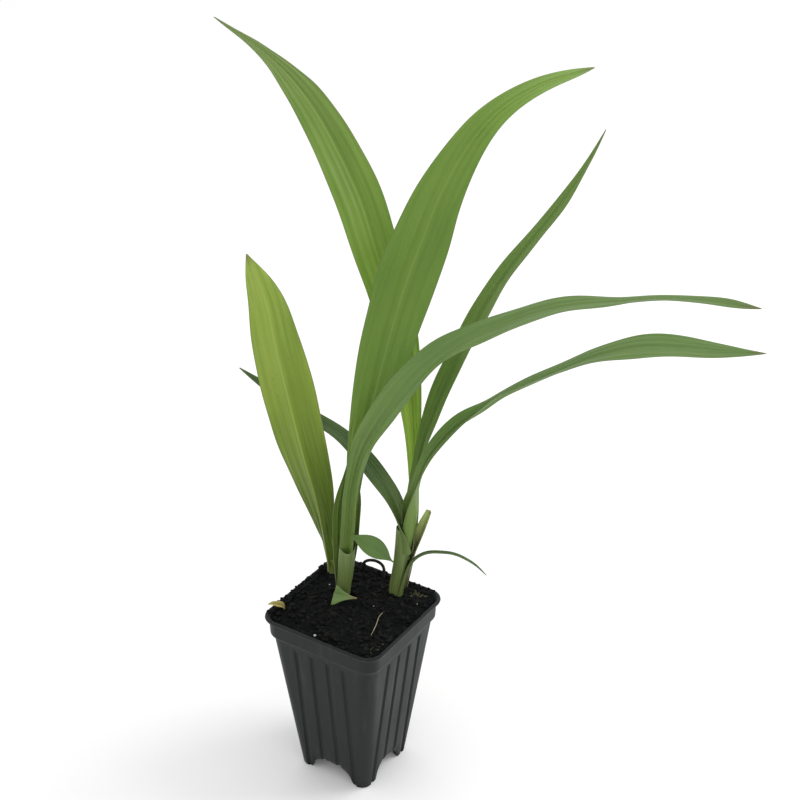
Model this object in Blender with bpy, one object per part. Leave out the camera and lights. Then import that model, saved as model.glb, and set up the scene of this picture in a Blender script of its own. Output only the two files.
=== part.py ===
"""A potted ground orchid: leafy shoots in a square plastic nursery pot, at real size.

The pot's sides lie along X and Y, its feet stand on the floor and +Z is up. Lengths below are
millimetres. The world origin is at floor height under the middle of the whole plant's box.
"""

import math

import bmesh
import bpy
import numpy as np
from mathutils import Vector

MM = 0.001
GAP = 0.3

# Pot: half side, corner radius and height of each level of its outside, from the lip down
LIP_TOP = 90.0
LIP_HALF = 32.0
LIP_RADIUS = 8.0
BAND_TOP = 87.8
BAND_BOTTOM = 80.2
BAND_HALF = 30.4
BAND_RADIUS = 7.5
BODY_TOP = 78.6
BODY_HALF = 28.7
BODY_RADIUS = 7.0
BODY_BOTTOM = 11.0
FOOT_HALF = 19.4
FOOT_RADIUS = 5.2
WALL = 1.3
FOOT_WALL = 2.4

GROOVES = (-13.2, -4.4, 4.4, 13.2)
GROOVE_WIDTH = 2.2
GROOVE_DEPTH = 0.75
GROOVE_TOP = 76.6
GROOVE_FADE = 2.4

ARCH_HEIGHT = 8.0
ARCH_HALF_ALONG_X = 12.2
ARCH_HALF_ALONG_Y = 9.8
FLOOR_UNDERSIDE = 9.6
FLOOR_TOP = 11.2
DRAIN_RADIUS = 2.6
DRAIN_OFFSET = 11.0

# Soil and the root that loops out of it
SOIL_EDGE = 87.0
SOIL_MOUND = 1.3
SOIL_RINGS = (0.94, 0.86, 0.76, 0.65, 0.53, 0.41, 0.29, 0.17)
SOIL_LUMPS = 34
SOIL_SEED = 11
SOIL_GAP = 0.4
ROOT_RADIUS = 0.8
ROOT_PATH = ((-1.0, 26.4, 84.0), (-2.5, 26.8, 89.5), (-7.0, 27.2, 92.4), (-12.5, 26.6, 92.0), (-15.5, 25.4, 84.0))

# Each stem: its axis from the buried end to the top, and its radius there
STEM_BURIED = 76.0
STEM_SIDES = 14
STEMS = {
    "stem_front": (
        (-9.7, 6.3, STEM_BURIED, 3.2),
        (-9.7, 6.3, 91.0, 3.3),
        (-9.2, 7.1, 100.0, 3.5),
        (-7.4, 7.8, 112.4, 3.7),
    ),
    "stem_right": (
        (10.4, 21.4, STEM_BURIED, 3.1),
        (10.4, 21.4, 91.0, 3.2),
        (11.4, 22.3, 107.0, 3.4),
        (14.1, 24.3, 122.0, 3.7),
    ),
    "stem_left": (
        (-24.8, 19.4, STEM_BURIED + 5.0, 1.9),
        (-24.8, 19.4, 91.0, 2.1),
        (-25.5, 18.2, 97.0, 2.4),
    ),
}

# Each blade: the way it leans, in degrees from +X towards +Y, then its midrib from base to tip.
# A row gives x, y, z, half the width, the roll about the midrib and how far each side is folded up.
BLADE_ROWS = 26
BLADE_PLEATS = 0.28
BLADE_THICK = 0.75
PETIOLE_THICK = 1.3
PETIOLE_LENGTH = 45.0
BLADES = {
    "leaf_broad": (60.0, (
        (-8.3, 10.9, 112.9, 3.2, -40, 34),
        (-8.2, 11.1, 117.0, 3.3, -42, 34),
        (-6.6, 13.0, 139.2, 4.4, -45, 30),
        (-5.2, 15.1, 165.3, 7.2, -45, 24),
        (-2.5, 18.5, 190.4, 10.8, -45, 18),
        (0.8, 23.0, 211.9, 12.9, -45, 14),
        (4.1, 27.4, 228.1, 13.7, -45, 12),
        (7.2, 32.3, 246.2, 13.9, -45, 11),
        (10.7, 38.6, 263.5, 13.0, -45, 11),
        (13.9, 45.4, 280.3, 11.1, -45, 11),
        (18.1, 55.1, 296.3, 8.6, -45, 11),
        (24.5, 68.6, 311.5, 6.2, -44, 11),
        (35.4, 93.2, 322.4, 4.0, -40, 10),
        (44.5, 113.1, 325.2, 1.9, -38, 8),
        (47.7, 121.0, 325.9, 0.5, -38, 0),
    )),
    "leaf_arching_front": (7.0, (
        (-6.1, 4.7, 112.9, 3.1, -28, 34),
        (-6.0, 4.7, 117.0, 3.2, -30, 38),
        (-3.5, 5.1, 144.3, 4.0, -40, 42),
        (-1.7, 5.3, 158.1, 4.9, -42, 40),
        (1.6, 5.7, 173.0, 6.6, -44, 34),
        (9.5, 6.7, 192.7, 8.8, -43, 27),
        (21.7, 8.2, 211.3, 10.0, -38, 21),
        (35.8, 9.9, 226.4, 9.9, -31, 17),
        (50.0, 11.7, 238.8, 9.4, -22, 14),
        (63.7, 13.4, 247.8, 8.9, -15, 12),
        (80.4, 15.4, 256.9, 8.1, -12, 11),
        (96.7, 17.4, 263.3, 7.2, -5, 11),
        (112.7, 19.4, 267.8, 6.2, 2, 11),
        (128.3, 21.3, 271.4, 5.1, 5, 10),
        (143.6, 23.2, 274.0, 4.0, 1, 9),
        (158.7, 25.0, 275.2, 2.5, -8, 7),
        (166.9, 26.0, 275.4, 0.5, -10, 0),
    )),
    "sheath_front": (114.0, (
        (-11.6, 10.6, 90.3, 2.4, 0, 6),
        (-12.1, 11.5, 97.0, 3.6, 0, 24),
        (-12.6, 12.7, 104.0, 5.2, 0, 30),
        (-12.4, 14.1, 120.7, 6.0, 0, 30),
        (-11.8, 15.0, 134.2, 5.0, 0, 28),
        (-11.0, 15.9, 147.0, 2.4, 0, 20),
        (-11.0, 16.2, 157.0, 0.6, 0, 0),
    )),
    "leaf_oval": (30.0, (
        (-4.6, 6.2, 122.9, 0.8, -50, 0),
        (-1.2, 7.0, 121.8, 2.8, -52, 6),
        (1.6, 8.1, 120.2, 4.5, -55, 8),
        (5.4, 9.9, 118.5, 4.6, -55, 8),
        (8.5, 11.2, 115.8, 2.9, -55, 6),
        (10.7, 12.5, 112.3, 0.5, -55, 0),
    )),
    "leaf_upright": (57.0, (
        (11.8, 26.6, 122.6, 2.8, -8, 30),
        (12.0, 26.8, 127.0, 3.0, -6, 32),
        (13.8, 28.2, 143.7, 3.8, -4, 36),
        (15.1, 30.1, 159.3, 5.0, -4, 32),
        (16.9, 32.9, 169.0, 5.9, -5, 28),
        (20.2, 38.0, 188.4, 7.2, -5, 24),
        (26.1, 47.1, 212.9, 7.9, -5, 20),
        (36.2, 62.7, 242.3, 6.6, -5, 18),
        (44.3, 75.2, 258.9, 5.4, -4, 16),
        (52.7, 88.0, 275.3, 3.9, -2, 12),
        (59.2, 98.0, 292.0, 1.7, 0, 8),
        (63.1, 104.1, 304.9, 0.5, 0, 0),
    )),
    "leaf_arching_right": (22.0, (
        (16.5, 22.1, 122.5, 2.8, -24, 30),
        (16.6, 22.2, 127.0, 3.0, -27, 36),
        (18.0, 23.3, 144.9, 3.7, -34, 42),
        (20.0, 24.1, 153.2, 4.3, -32, 42),
        (23.2, 25.4, 163.6, 5.2, -27, 40),
        (28.5, 27.6, 176.2, 6.2, -18, 37),
        (36.6, 30.8, 186.4, 6.8, -8, 33),
        (44.6, 34.1, 194.6, 7.0, 0, 27),
        (52.6, 37.3, 201.2, 7.2, 5, 20),
        (60.4, 40.5, 207.3, 7.6, 6, 14),
        (76.0, 46.8, 217.7, 8.5, 3, 10),
        (91.3, 52.9, 225.8, 9.3, -2, 10),
        (106.5, 59.1, 230.6, 9.7, -9, 10),
        (121.9, 65.3, 232.4, 8.9, -9, 10),
        (137.2, 71.5, 232.6, 6.4, -6, 9),
        (154.8, 78.6, 231.9, 0.5, -5, 0),
    )),
    "leaf_left": (192.0, (
        (7.1, 20.8, 106.5, 2.3, 0, 0),
        (7.2, 20.8, 112.0, 2.5, 0, 4),
        (7.8, 21.1, 122.0, 2.8, 16, 14),
        (8.5, 21.4, 134.0, 3.3, 42, 18),
        (6.4, 22.4, 141.4, 4.3, 44, 16),
        (0.4, 23.0, 149.8, 5.2, 40, 14),
        (-8.4, 23.6, 158.0, 5.8, 34, 12),
        (-20.8, 20.6, 168.8, 4.9, 32, 12),
        (-30.4, 17.4, 175.0, 3.9, 30, 10),
        (-39.0, 14.0, 179.6, 3.0, 28, 10),
        (-47.9, 10.6, 184.8, 2.2, 26, 8),
        (-58.2, 6.4, 190.8, 1.3, 24, 6),
        (-64.9, 3.4, 195.4, 0.5, 24, 0),
    )),
    "leaf_tall": (147.0, (
        (11.1, 27.3, 103.0, 1.9, 57, 12),
        (12.3, 27.9, 110.0, 2.0, 57, 16),
        (14.8, 29.7, 119.0, 2.1, 50, 22),
        (15.8, 31.1, 129.5, 2.2, 42, 26),
        (13.7, 33.9, 141.0, 2.4, 34, 28),
        (10.5, 36.8, 154.7, 3.4, 28, 28),
        (8.1, 37.7, 169.4, 4.6, 24, 24),
        (5.2, 39.2, 183.3, 5.8, 22, 20),
        (0.6, 41.0, 201.6, 7.6, 18, 16),
        (-4.9, 42.5, 219.7, 9.2, 16, 14),
        (-12.5, 45.0, 236.6, 10.1, 15, 12),
        (-18.7, 46.1, 249.6, 10.7, 15, 12),
        (-31.5, 52.3, 268.8, 11.2, 15, 12),
        (-45.6, 58.7, 283.0, 10.6, 15, 12),
        (-64.1, 68.4, 295.9, 9.4, 15, 12),
        (-90.3, 82.6, 307.0, 6.8, 14, 10),
        (-113.0, 94.3, 312.6, 3.9, 12, 8),
        (-164.6, 118.5, 319.1, 0.5, 10, 0),
    )),
    "leaf_thin": (17.0, (
        (14.9, 19.4, 98.0, 1.0, 0, 0),
        (15.6, 19.8, 103.0, 1.0, 0, 10),
        (17.2, 20.7, 108.0, 1.1, 0, 16),
        (20.7, 22.5, 112.3, 1.2, 0, 16),
        (24.7, 23.8, 115.2, 1.2, 0, 14),
        (31.3, 25.6, 117.2, 1.2, 0, 12),
        (37.4, 27.1, 117.2, 1.1, 0, 12),
        (42.2, 29.0, 115.6, 1.0, 0, 10),
        (47.5, 31.1, 111.9, 0.8, 0, 8),
        (51.3, 32.3, 108.4, 0.5, 0, 0),
    )),
    "sheath_cut": (41.0, (
        (15.7, 23.8, 98.0, 1.6, 0, 0),
        (17.0, 24.9, 105.0, 1.9, -10, 12),
        (18.1, 26.0, 111.5, 2.2, -25, 24),
        (19.9, 27.9, 122.0, 2.2, -35, 28),
        (22.2, 30.0, 133.5, 1.5, -40, 24),
    )),
    "leaf_pale": (247.0, (
        (-25.7, 17.6, 97.5, 2.2, -20, 20),
        (-25.9, 17.1, 101.0, 2.6, -30, 28),
        (-26.8, 15.0, 109.5, 3.9, -40, 32),
        (-27.5, 13.3, 120.7, 6.6, -46, 30),
        (-28.5, 11.0, 132.7, 9.0, -48, 26),
        (-30.9, 5.4, 156.5, 11.6, -50, 20),
        (-32.9, 0.8, 179.0, 12.6, -50, 16),
        (-34.7, -3.4, 200.7, 12.6, -50, 14),
        (-36.3, -7.3, 221.5, 10.9, -50, 13),
        (-37.8, -10.7, 241.5, 8.2, -50, 12),
        (-39.1, -14.0, 251.7, 5.5, -50, 10),
        (-40.9, -18.2, 264.6, 0.5, -50, 0),
    )),
    "leaf_scrap": (140.0, (
        (-1.2, 3.6, 91.0, 0.7, 0, 0),
        (-4.6, 1.0, 91.4, 1.4, 20, 10),
        (-7.2, -0.8, 92.6, 4.2, 35, 20),
        (-9.0, -2.4, 93.9, 4.6, 40, 20),
        (-10.6, -3.4, 95.0, 2.6, 40, 10),
    )),
    "leaf_dry": (215.0, (
        (-25.2, -16.8, 88.6, 0.9, 0, 0),
        (-28.2, -18.8, 90.7, 2.0, 10, 16),
        (-31.0, -21.0, 91.5, 2.2, 20, 20),
        (-33.6, -23.0, 91.2, 0.8, 10, 0),
    )),
}

PLASTIC = ((0.045, 0.05, 0.05), 0.42)
SOIL_COLOUR = ((0.018, 0.016, 0.014), 0.95)
GREEN = ((0.14, 0.26, 0.06), 0.45)
BLUE_GREEN = ((0.12, 0.24, 0.09), 0.45)
DARK_GREEN = ((0.07, 0.16, 0.04), 0.45)
PALE_GREEN = ((0.27, 0.42, 0.09), 0.5)
STEM_GREEN = ((0.13, 0.2, 0.05), 0.5)
DRY = ((0.5, 0.4, 0.16), 0.7)
BLADE_COLOURS = {
    "leaf_broad": GREEN,
    "leaf_arching_front": BLUE_GREEN,
    "sheath_front": GREEN,
    "leaf_oval": GREEN,
    "leaf_upright": GREEN,
    "leaf_arching_right": BLUE_GREEN,
    "leaf_left": DARK_GREEN,
    "leaf_tall": PALE_GREEN,
    "leaf_thin": DARK_GREEN,
    "sheath_cut": STEM_GREEN,
    "leaf_pale": PALE_GREEN,
    "leaf_scrap": GREEN,
    "leaf_dry": DRY,
}


def clear_scene():
    for item in list(bpy.data.objects):
        bpy.data.objects.remove(item, do_unlink=True)


def material(name, look):
    colour, roughness = look
    made = bpy.data.materials.new(name)
    made.use_nodes = True
    shader = made.node_tree.nodes["Principled BSDF"]
    shader.inputs["Base Color"].default_value = (*colour, 1.0)
    shader.inputs["Roughness"].default_value = roughness
    shader.inputs["Metallic"].default_value = 0.0
    return made


def make_object(name, mesh, look, smooth_angle=None):
    made = bpy.data.objects.new(name, mesh)
    bpy.context.scene.collection.objects.link(made)
    mesh.materials.append(material(name + "_material", look))
    if smooth_angle is not None:
        mesh.shade_smooth()
        mesh.set_sharp_from_angle(angle=math.radians(smooth_angle))
    return made


def mesh_from(name, points, faces):
    """A mesh from points in millimetres, with its faces turned outwards."""
    mesh = bpy.data.meshes.new(name)
    mesh.from_pydata([tuple(c * MM for c in p) for p in points], [], faces)
    shape = bmesh.new()
    shape.from_mesh(mesh)
    bmesh.ops.recalc_face_normals(shape, faces=shape.faces)
    shape.to_mesh(mesh)
    shape.free()
    return mesh


def rings_mesh(name, rings, closed_centre=None):
    """Rings of equal length joined one after another, with a flat cap at each end."""
    count = len(rings[0])
    points = [p for ring in rings for p in ring]
    faces = []
    for level in range(len(rings) - 1):
        for k in range(count):
            a = level * count + k
            b = level * count + (k + 1) % count
            faces.append((a, b, b + count, a + count))
    faces.append(tuple(range(count)))
    last = (len(rings) - 1) * count
    if closed_centre is None:
        faces.append(tuple(last + k for k in range(count)))
    else:
        points.append(closed_centre)
        faces += [(last + k, last + (k + 1) % count, len(points) - 1) for k in range(count)]
    return mesh_from(name, points, faces)


def boolean(target, tool, operation, solver="EXACT"):
    """Applies one Boolean to the target's mesh and removes the tool."""
    change = target.modifiers.new("boolean", "BOOLEAN")
    change.object = tool
    change.operation = operation
    change.solver = solver
    tool.hide_render = True
    tool.display_type = "WIRE"
    bpy.context.view_layer.update()
    graph = bpy.context.evaluated_depsgraph_get()
    result = bpy.data.meshes.new_from_object(target.evaluated_get(graph))
    target.modifiers.clear()
    target.data = result
    bpy.data.objects.remove(tool, do_unlink=True)


# Pot

def side_places(half, radius):
    """Where a side's points lie along it: both edges of each groove, twice, and the middles."""
    places = [0.0, -8.8, 8.8]
    for middle in GROOVES:
        for part in (-0.5, -0.28, 0.28, 0.5):
            places.append(middle + part * GROOVE_WIDTH)
    ends = half - radius
    return sorted(min(max(p, -ends + 0.02), ends - 0.02) if abs(p) > ends else p for p in places)


def groove_depth(place, fullness):
    """How deep the wall is pressed in at this place along a side."""
    middle = min(GROOVES, key=lambda g: abs(g - place))
    return GROOVE_DEPTH * fullness if abs(place - middle) < 0.4 * GROOVE_WIDTH else 0.0


def arch_height(place, half_span):
    """Height of the skirt's lower edge, which is on the floor at the feet."""
    across = min(abs(place) / half_span, 1.0)
    return ARCH_HEIGHT * (1.0 - across**3) ** 0.6


def square_ring(half, radius, height, groove=0.0, arched=False):
    """A rounded square with the grooves' points in every side, anticlockwise from the front face."""
    ring = []
    for turn in range(4):
        angle = turn * math.pi / 2
        ca = math.cos(angle)
        sa = math.sin(angle)
        span = ARCH_HALF_ALONG_X if turn % 2 == 0 else ARCH_HALF_ALONG_Y
        points = []
        for place in side_places(half, radius):
            lift = arch_height(place, span) if arched else 0.0
            points.append((place, -half + groove_depth(place, groove), lift))
        for step in range(5):
            bend = -math.pi / 2 + step * math.pi / 8
            x = half - radius + radius * math.cos(bend)
            y = -half + radius + radius * math.sin(bend)
            points.append((x, y, 0.0))
        ring += [(x * ca - y * sa, x * sa + y * ca, height + lift) for x, y, lift in points]
    return ring


def body_half(height):
    """Half the side of the tapered body at this height."""
    share = height / BODY_TOP
    return FOOT_HALF + (BODY_HALF - FOOT_HALF) * share


def body_radius(height):
    return FOOT_RADIUS + (BODY_RADIUS - FOOT_RADIUS) * height / BODY_TOP


def inner_ring(height):
    return square_ring(body_half(height) - WALL, body_radius(height) - 0.6 * WALL, height)


def make_pot():
    step_in = BODY_TOP - 1.8
    rings = [
        square_ring(FOOT_HALF - WALL - 0.9, FOOT_RADIUS - 0.8, FLOOR_UNDERSIDE),
        square_ring(FOOT_HALF - FOOT_WALL, FOOT_RADIUS - 1.2, 0.0, arched=True),
        square_ring(FOOT_HALF, FOOT_RADIUS, 0.0, groove=1.0, arched=True),
        square_ring(body_half(BODY_BOTTOM), body_radius(BODY_BOTTOM), BODY_BOTTOM, groove=1.0),
        square_ring(body_half(GROOVE_TOP - GROOVE_FADE), BODY_RADIUS, GROOVE_TOP - GROOVE_FADE, groove=1.0),
        square_ring(body_half(GROOVE_TOP), BODY_RADIUS, GROOVE_TOP),
        square_ring(BODY_HALF, BODY_RADIUS, BODY_TOP),
        square_ring(BAND_HALF - 0.3, BAND_RADIUS, BAND_BOTTOM),
        square_ring(BAND_HALF, BAND_RADIUS, BAND_TOP - 0.6),
        square_ring(LIP_HALF - 0.4, LIP_RADIUS, BAND_TOP + 0.3),
        square_ring(LIP_HALF, LIP_RADIUS, BAND_TOP + 1.0),
        square_ring(LIP_HALF - 0.1, LIP_RADIUS, LIP_TOP - 0.4),
        square_ring(LIP_HALF - 0.5, LIP_RADIUS - 0.4, LIP_TOP),
        square_ring(LIP_HALF - 1.2, LIP_RADIUS - 0.8, LIP_TOP - 0.1),
        square_ring(BAND_HALF - WALL + 0.2, BAND_RADIUS - 0.8, BAND_TOP),
        square_ring(BAND_HALF - WALL - 0.3, BAND_RADIUS - 0.8, BAND_BOTTOM),
        inner_ring(step_in),
        inner_ring(FLOOR_TOP),
    ]
    pot = make_object("pot", rings_mesh("pot", rings), PLASTIC, smooth_angle=40)
    offsets = [(0.0, 0.0), (DRAIN_OFFSET, 0.0), (-DRAIN_OFFSET, 0.0), (0.0, DRAIN_OFFSET), (0.0, -DRAIN_OFFSET)]
    for number, (x, y) in enumerate(offsets):
        path = [(x, y, FLOOR_UNDERSIDE - 1.0, DRAIN_RADIUS), (x, y, FLOOR_TOP + 1.0, DRAIN_RADIUS)]
        drill = make_object("drain_%d" % number, tube_mesh("drain", path, 12), PLASTIC)
        boolean(pot, drill, "DIFFERENCE")
    return pot


# Stems, roots and the holes they stand in

def smooth_path(rows, count):
    """Rows of numbers spread evenly along a smooth curve through the given rows."""
    given = np.array(rows, float)
    steps = np.linalg.norm(np.diff(given[:, :3], axis=0), axis=1)
    along = np.concatenate([[0.0], np.cumsum(steps)])
    slopes = np.gradient(given, along, axis=0)
    result = []
    for place in np.linspace(0.0, along[-1], count):
        k = min(int(np.searchsorted(along, place, side="right")) - 1, len(along) - 2)
        length = along[k + 1] - along[k]
        t = (place - along[k]) / length
        value = (
            (2 * t**3 - 3 * t**2 + 1) * given[k]
            + (t**3 - 2 * t**2 + t) * length * slopes[k]
            + (-2 * t**3 + 3 * t**2) * given[k + 1]
            + (t**3 - t**2) * length * slopes[k + 1]
        )
        result.append(value)
    return np.array(result)


def tube_mesh(name, rows, sides, upright=True):
    """A closed tube round a path whose rows give x, y, z and radius."""
    rows = np.array(rows, float)
    tangents = np.gradient(rows[:, :3], axis=0)
    rings = []
    for row, tangent in zip(rows, tangents):
        if upright:
            first = Vector((1.0, 0.0, 0.0))
            second = Vector((0.0, 1.0, 0.0))
        else:
            forward = Vector(tangent).normalized()
            first = forward.cross(Vector((0.0, 1.0, 0.0))).normalized()
            second = forward.cross(first)
        ring = []
        for k in range(sides):
            angle = 2 * math.pi * k / sides
            offset = first * math.cos(angle) + second * math.sin(angle)
            ring.append(tuple(Vector(row[:3]) + offset * row[3]))
        rings.append(ring)
    return rings_mesh(name, rings)


def make_stem(name):
    rows = smooth_path(STEMS[name], 9)
    rows[0][:2] = rows[1][:2] = rows[2][:2] = STEMS[name][0][:2]
    return make_object(name, tube_mesh(name, rows, STEM_SIDES), STEM_GREEN, smooth_angle=50)


def stem_hole(name):
    """The plain hole that this stem stands in, a little wider than the stem."""
    x, y, bottom, radius = STEMS[name][0]
    wide = radius + GAP + 0.25
    rows = [(x, y, bottom - GAP, wide), (x, y, SOIL_EDGE + 6.0, wide)]
    return make_object(name + "_hole", tube_mesh(name, rows, 2 * STEM_SIDES), SOIL_COLOUR)


# Soil

def soil_height(x, y, lumps):
    """Rough top of the soil: a low mound, crumbs of a few millimetres and larger lumps."""
    mound = SOIL_MOUND * max(0.0, 1.0 - (x * x + y * y) / 800.0)
    crumbs = 0.35 * math.sin(x / 1.7 + 1.0) * math.cos(y / 2.1) + 0.25 * math.sin(x / 3.9 - y / 2.7)
    lump = sum(h * math.exp(-((x - u) ** 2 + (y - v) ** 2) / (r * r)) for u, v, r, h in lumps)
    return SOIL_EDGE + mound + crumbs + lump


def make_soil():
    draw = np.random.default_rng(SOIL_SEED)
    lumps = [
        (draw.uniform(-26, 26), draw.uniform(-26, 26), draw.uniform(1.6, 3.2), draw.uniform(0.4, 1.3))
        for _ in range(SOIL_LUMPS)
    ]
    inner = BAND_HALF - WALL - 0.3 - SOIL_GAP
    rings = [
        square_ring(body_half(FLOOR_TOP) - WALL - SOIL_GAP, body_radius(FLOOR_TOP) - 1.0, FLOOR_TOP + GAP)[::2],
        square_ring(body_half(BODY_TOP - 2.1) - WALL - SOIL_GAP, BODY_RADIUS - 1.0, BODY_TOP - 2.1)[::2],
        square_ring(inner, BAND_RADIUS - 1.0, BAND_BOTTOM + GAP)[::2],
    ]
    edge = square_ring(inner, BAND_RADIUS - 1.0, SOIL_EDGE - 0.8)[::2]
    rings.append(edge)
    for share in SOIL_RINGS:
        rings.append([(x * share, y * share, soil_height(x * share, y * share, lumps)) for x, y, _ in edge])
    centre = (0.0, 0.0, soil_height(0.0, 0.0, lumps))
    soil = make_object("soil", rings_mesh("soil", rings, centre), SOIL_COLOUR)
    root_rows = smooth_path([(*place, ROOT_RADIUS) for place in ROOT_PATH], 16)
    root = make_object("root_loop", tube_mesh("root_loop", root_rows, 6, upright=False), SOIL_COLOUR)
    boolean(soil, root, "UNION")
    for name in STEMS:
        boolean(soil, stem_hole(name), "DIFFERENCE")
    return soil


# Leaves and sheaths

def blade_frame(rows, heading):
    """Directions across the blade and out of its upper face at each row of the midrib."""
    lean = math.radians(heading)
    level = np.array([-math.sin(lean), math.cos(lean), 0.0])
    tangents = np.gradient(rows[:, :3], axis=0)
    frame = []
    for row, tangent in zip(rows, tangents):
        forward = tangent / np.linalg.norm(tangent)
        across = level - np.dot(level, forward) * forward
        across /= np.linalg.norm(across)
        under = np.cross(across, forward)
        roll = math.radians(row[4])
        turned = across * math.cos(roll) + under * math.sin(roll)
        frame.append((turned, -np.cross(turned, forward)))
    return frame


def blade_mesh(name):
    """A pleated blade with a folded midrib, as one grid for each face with the same diagonals."""
    heading, stations = BLADES[name]
    rows = smooth_path(stations, BLADE_ROWS)
    length = np.concatenate([[0.0], np.cumsum(np.linalg.norm(np.diff(rows[:, :3], axis=0), axis=1))])
    columns = np.linspace(-1.0, 1.0, 7)
    pleat = (0.0, 1.0, -1.0, 1.0, -1.0, 1.0, 0.0)
    upper = []
    lower = []
    for row, (across, up), place in zip(rows, blade_frame(rows, heading), length):
        half_width = max(row[3], 0.45)
        fold = math.radians(row[5])
        base = math.exp(-((place / PETIOLE_LENGTH) ** 2)) * min(1.0, half_width / 2.0)
        thick = BLADE_THICK + (PETIOLE_THICK - BLADE_THICK) * base
        pleats = BLADE_PLEATS * min(1.0, half_width / 6.0)
        for column, sign in zip(columns, pleat):
            rise = abs(column) * half_width * math.sin(fold) + sign * pleats
            middle = row[:3] + across * column * half_width * math.cos(fold) + up * rise
            offset = up * thick / (2.0 * math.cos(fold))
            upper.append(middle + offset)
            lower.append(middle - offset)
    return grid_solid(name, upper, lower, len(rows), len(columns))


def grid_solid(name, upper, lower, row_count, column_count):
    """Closes two like grids of points into one thin solid of triangles."""
    shift = len(upper)
    faces = []
    for r in range(row_count - 1):
        for c in range(column_count - 1):
            a = r * column_count + c
            b = a + 1
            d = a + column_count
            e = d + 1
            faces += [(a, b, e), (a, e, d)]
            faces += [(a + shift, e + shift, b + shift), (a + shift, d + shift, e + shift)]
    for r in range(row_count - 1):
        for c in (0, column_count - 1):
            a = r * column_count + c
            d = a + column_count
            faces += [(a, d, d + shift), (a, d + shift, a + shift)]
    for r in (0, row_count - 1):
        for c in range(column_count - 1):
            a = r * column_count + c
            b = a + 1
            faces += [(a, b + shift, b), (a, a + shift, b + shift)]
    return mesh_from(name, upper + lower, faces)


def make_blade(name):
    return make_object(name, blade_mesh(name), BLADE_COLOURS[name], smooth_angle=60)


def stand_on_origin(pieces):
    """Parents every piece to one empty, moved so that the origin is under the middle of the box."""
    corners = [piece.matrix_world @ v.co for piece in pieces for v in piece.data.vertices]
    low = [min(c[k] for c in corners) for k in range(3)]
    high = [max(c[k] for c in corners) for k in range(3)]
    holder = bpy.data.objects.new("potted_orchid", None)
    bpy.context.scene.collection.objects.link(holder)
    for piece in pieces:
        piece.parent = holder
    holder.location = (-(low[0] + high[0]) / 2, -(low[1] + high[1]) / 2, -low[2])
    bpy.context.view_layer.update()


def main():
    clear_scene()
    pieces = [make_pot(), make_soil()]
    pieces += [make_stem(name) for name in STEMS]
    pieces += [make_blade(name) for name in BLADES]
    stand_on_origin(pieces)


main()
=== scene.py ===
"""The looks of the potted ground orchid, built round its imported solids."""

import math

import bmesh
import bpy
import numpy as np
from mathutils import Matrix, Vector


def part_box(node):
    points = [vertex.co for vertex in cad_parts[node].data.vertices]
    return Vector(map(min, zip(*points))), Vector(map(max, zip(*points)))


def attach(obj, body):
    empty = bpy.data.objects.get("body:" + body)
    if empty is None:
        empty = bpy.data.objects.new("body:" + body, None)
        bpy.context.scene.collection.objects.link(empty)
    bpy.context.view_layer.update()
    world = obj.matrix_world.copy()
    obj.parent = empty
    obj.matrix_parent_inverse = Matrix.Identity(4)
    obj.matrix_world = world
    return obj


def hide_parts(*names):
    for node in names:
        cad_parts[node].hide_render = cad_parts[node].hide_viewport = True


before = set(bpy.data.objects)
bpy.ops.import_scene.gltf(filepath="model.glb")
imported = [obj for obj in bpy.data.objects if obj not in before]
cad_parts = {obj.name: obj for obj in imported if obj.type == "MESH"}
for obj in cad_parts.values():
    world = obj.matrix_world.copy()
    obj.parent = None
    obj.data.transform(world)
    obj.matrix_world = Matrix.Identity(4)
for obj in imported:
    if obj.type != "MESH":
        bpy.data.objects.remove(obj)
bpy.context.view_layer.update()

MM = 0.001
POT_LOW, POT_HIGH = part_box("pot")
POT_CENTRE = ((POT_LOW + POT_HIGH) / 2).xy

# The camera, from the pot's centre at floor height, in millimetres and degrees
CAMERA_AT = (324.9, -477.1, 506.0)
CAMERA_TURN = 32.2
CAMERA_DOWN = 27.98
CAMERA_ROLL = 0.66
CAMERA_LENS = 67.5
CAMERA_SENSOR = 36.0

# The floor and the light, in metres, degrees and watts
FLOOR_HALF = 6.0
FLOOR_GREY = (0.94, 0.94, 0.94, 1.0)
WHITE = (1.0, 1.0, 1.0, 1.0)
SKY_STRENGTH = 1.0
KEY_TURN = 32
KEY_RIGHT, KEY_AWAY, KEY_UP = 1.1, 0.2, 1.3
KEY_TARGET = (0, 0, 0.1)
KEY_SIZE = 0.8
KEY_POWER = 9.0


def to_world(points):
    """Millimetres from the pot's centre to metres in the part's own frame."""
    moved = np.asarray(points, float) * MM
    moved[..., 0] += POT_CENTRE.x
    moved[..., 1] += POT_CENTRE.y
    return moved


# Materials

SCATTER_RADIUS = (0.0006, 0.0009, 0.0003)
LEAF_ROUGHNESS = 0.46
LEAF_SPECULAR = 0.3
LEAF_SCATTER = 0.12
STEM_ROUGHNESS = 0.42
STEM_SCATTER = 0.1
PLASTIC_ROUGHNESS = 0.45
PLASTIC_SPECULAR = 0.2
SOIL_ROUGHNESS = 0.92
SPECK_ROUGHNESS = 0.8
FLOOR_ROUGHNESS = 0.9
GRAIN_SPECULAR = 0.12
DEFAULT_SPECULAR = 0.5

SPOT_SCALE = 0.33

# How much a darker patch keeps of red, green and blue
BLOTCH_KEEPS = (0.78, 0.86, 0.72)
STREAK_KEEPS = (0.6, 0.7, 0.55)
STEM_STREAK_KEEPS = (0.6, 0.65, 0.5)

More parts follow.
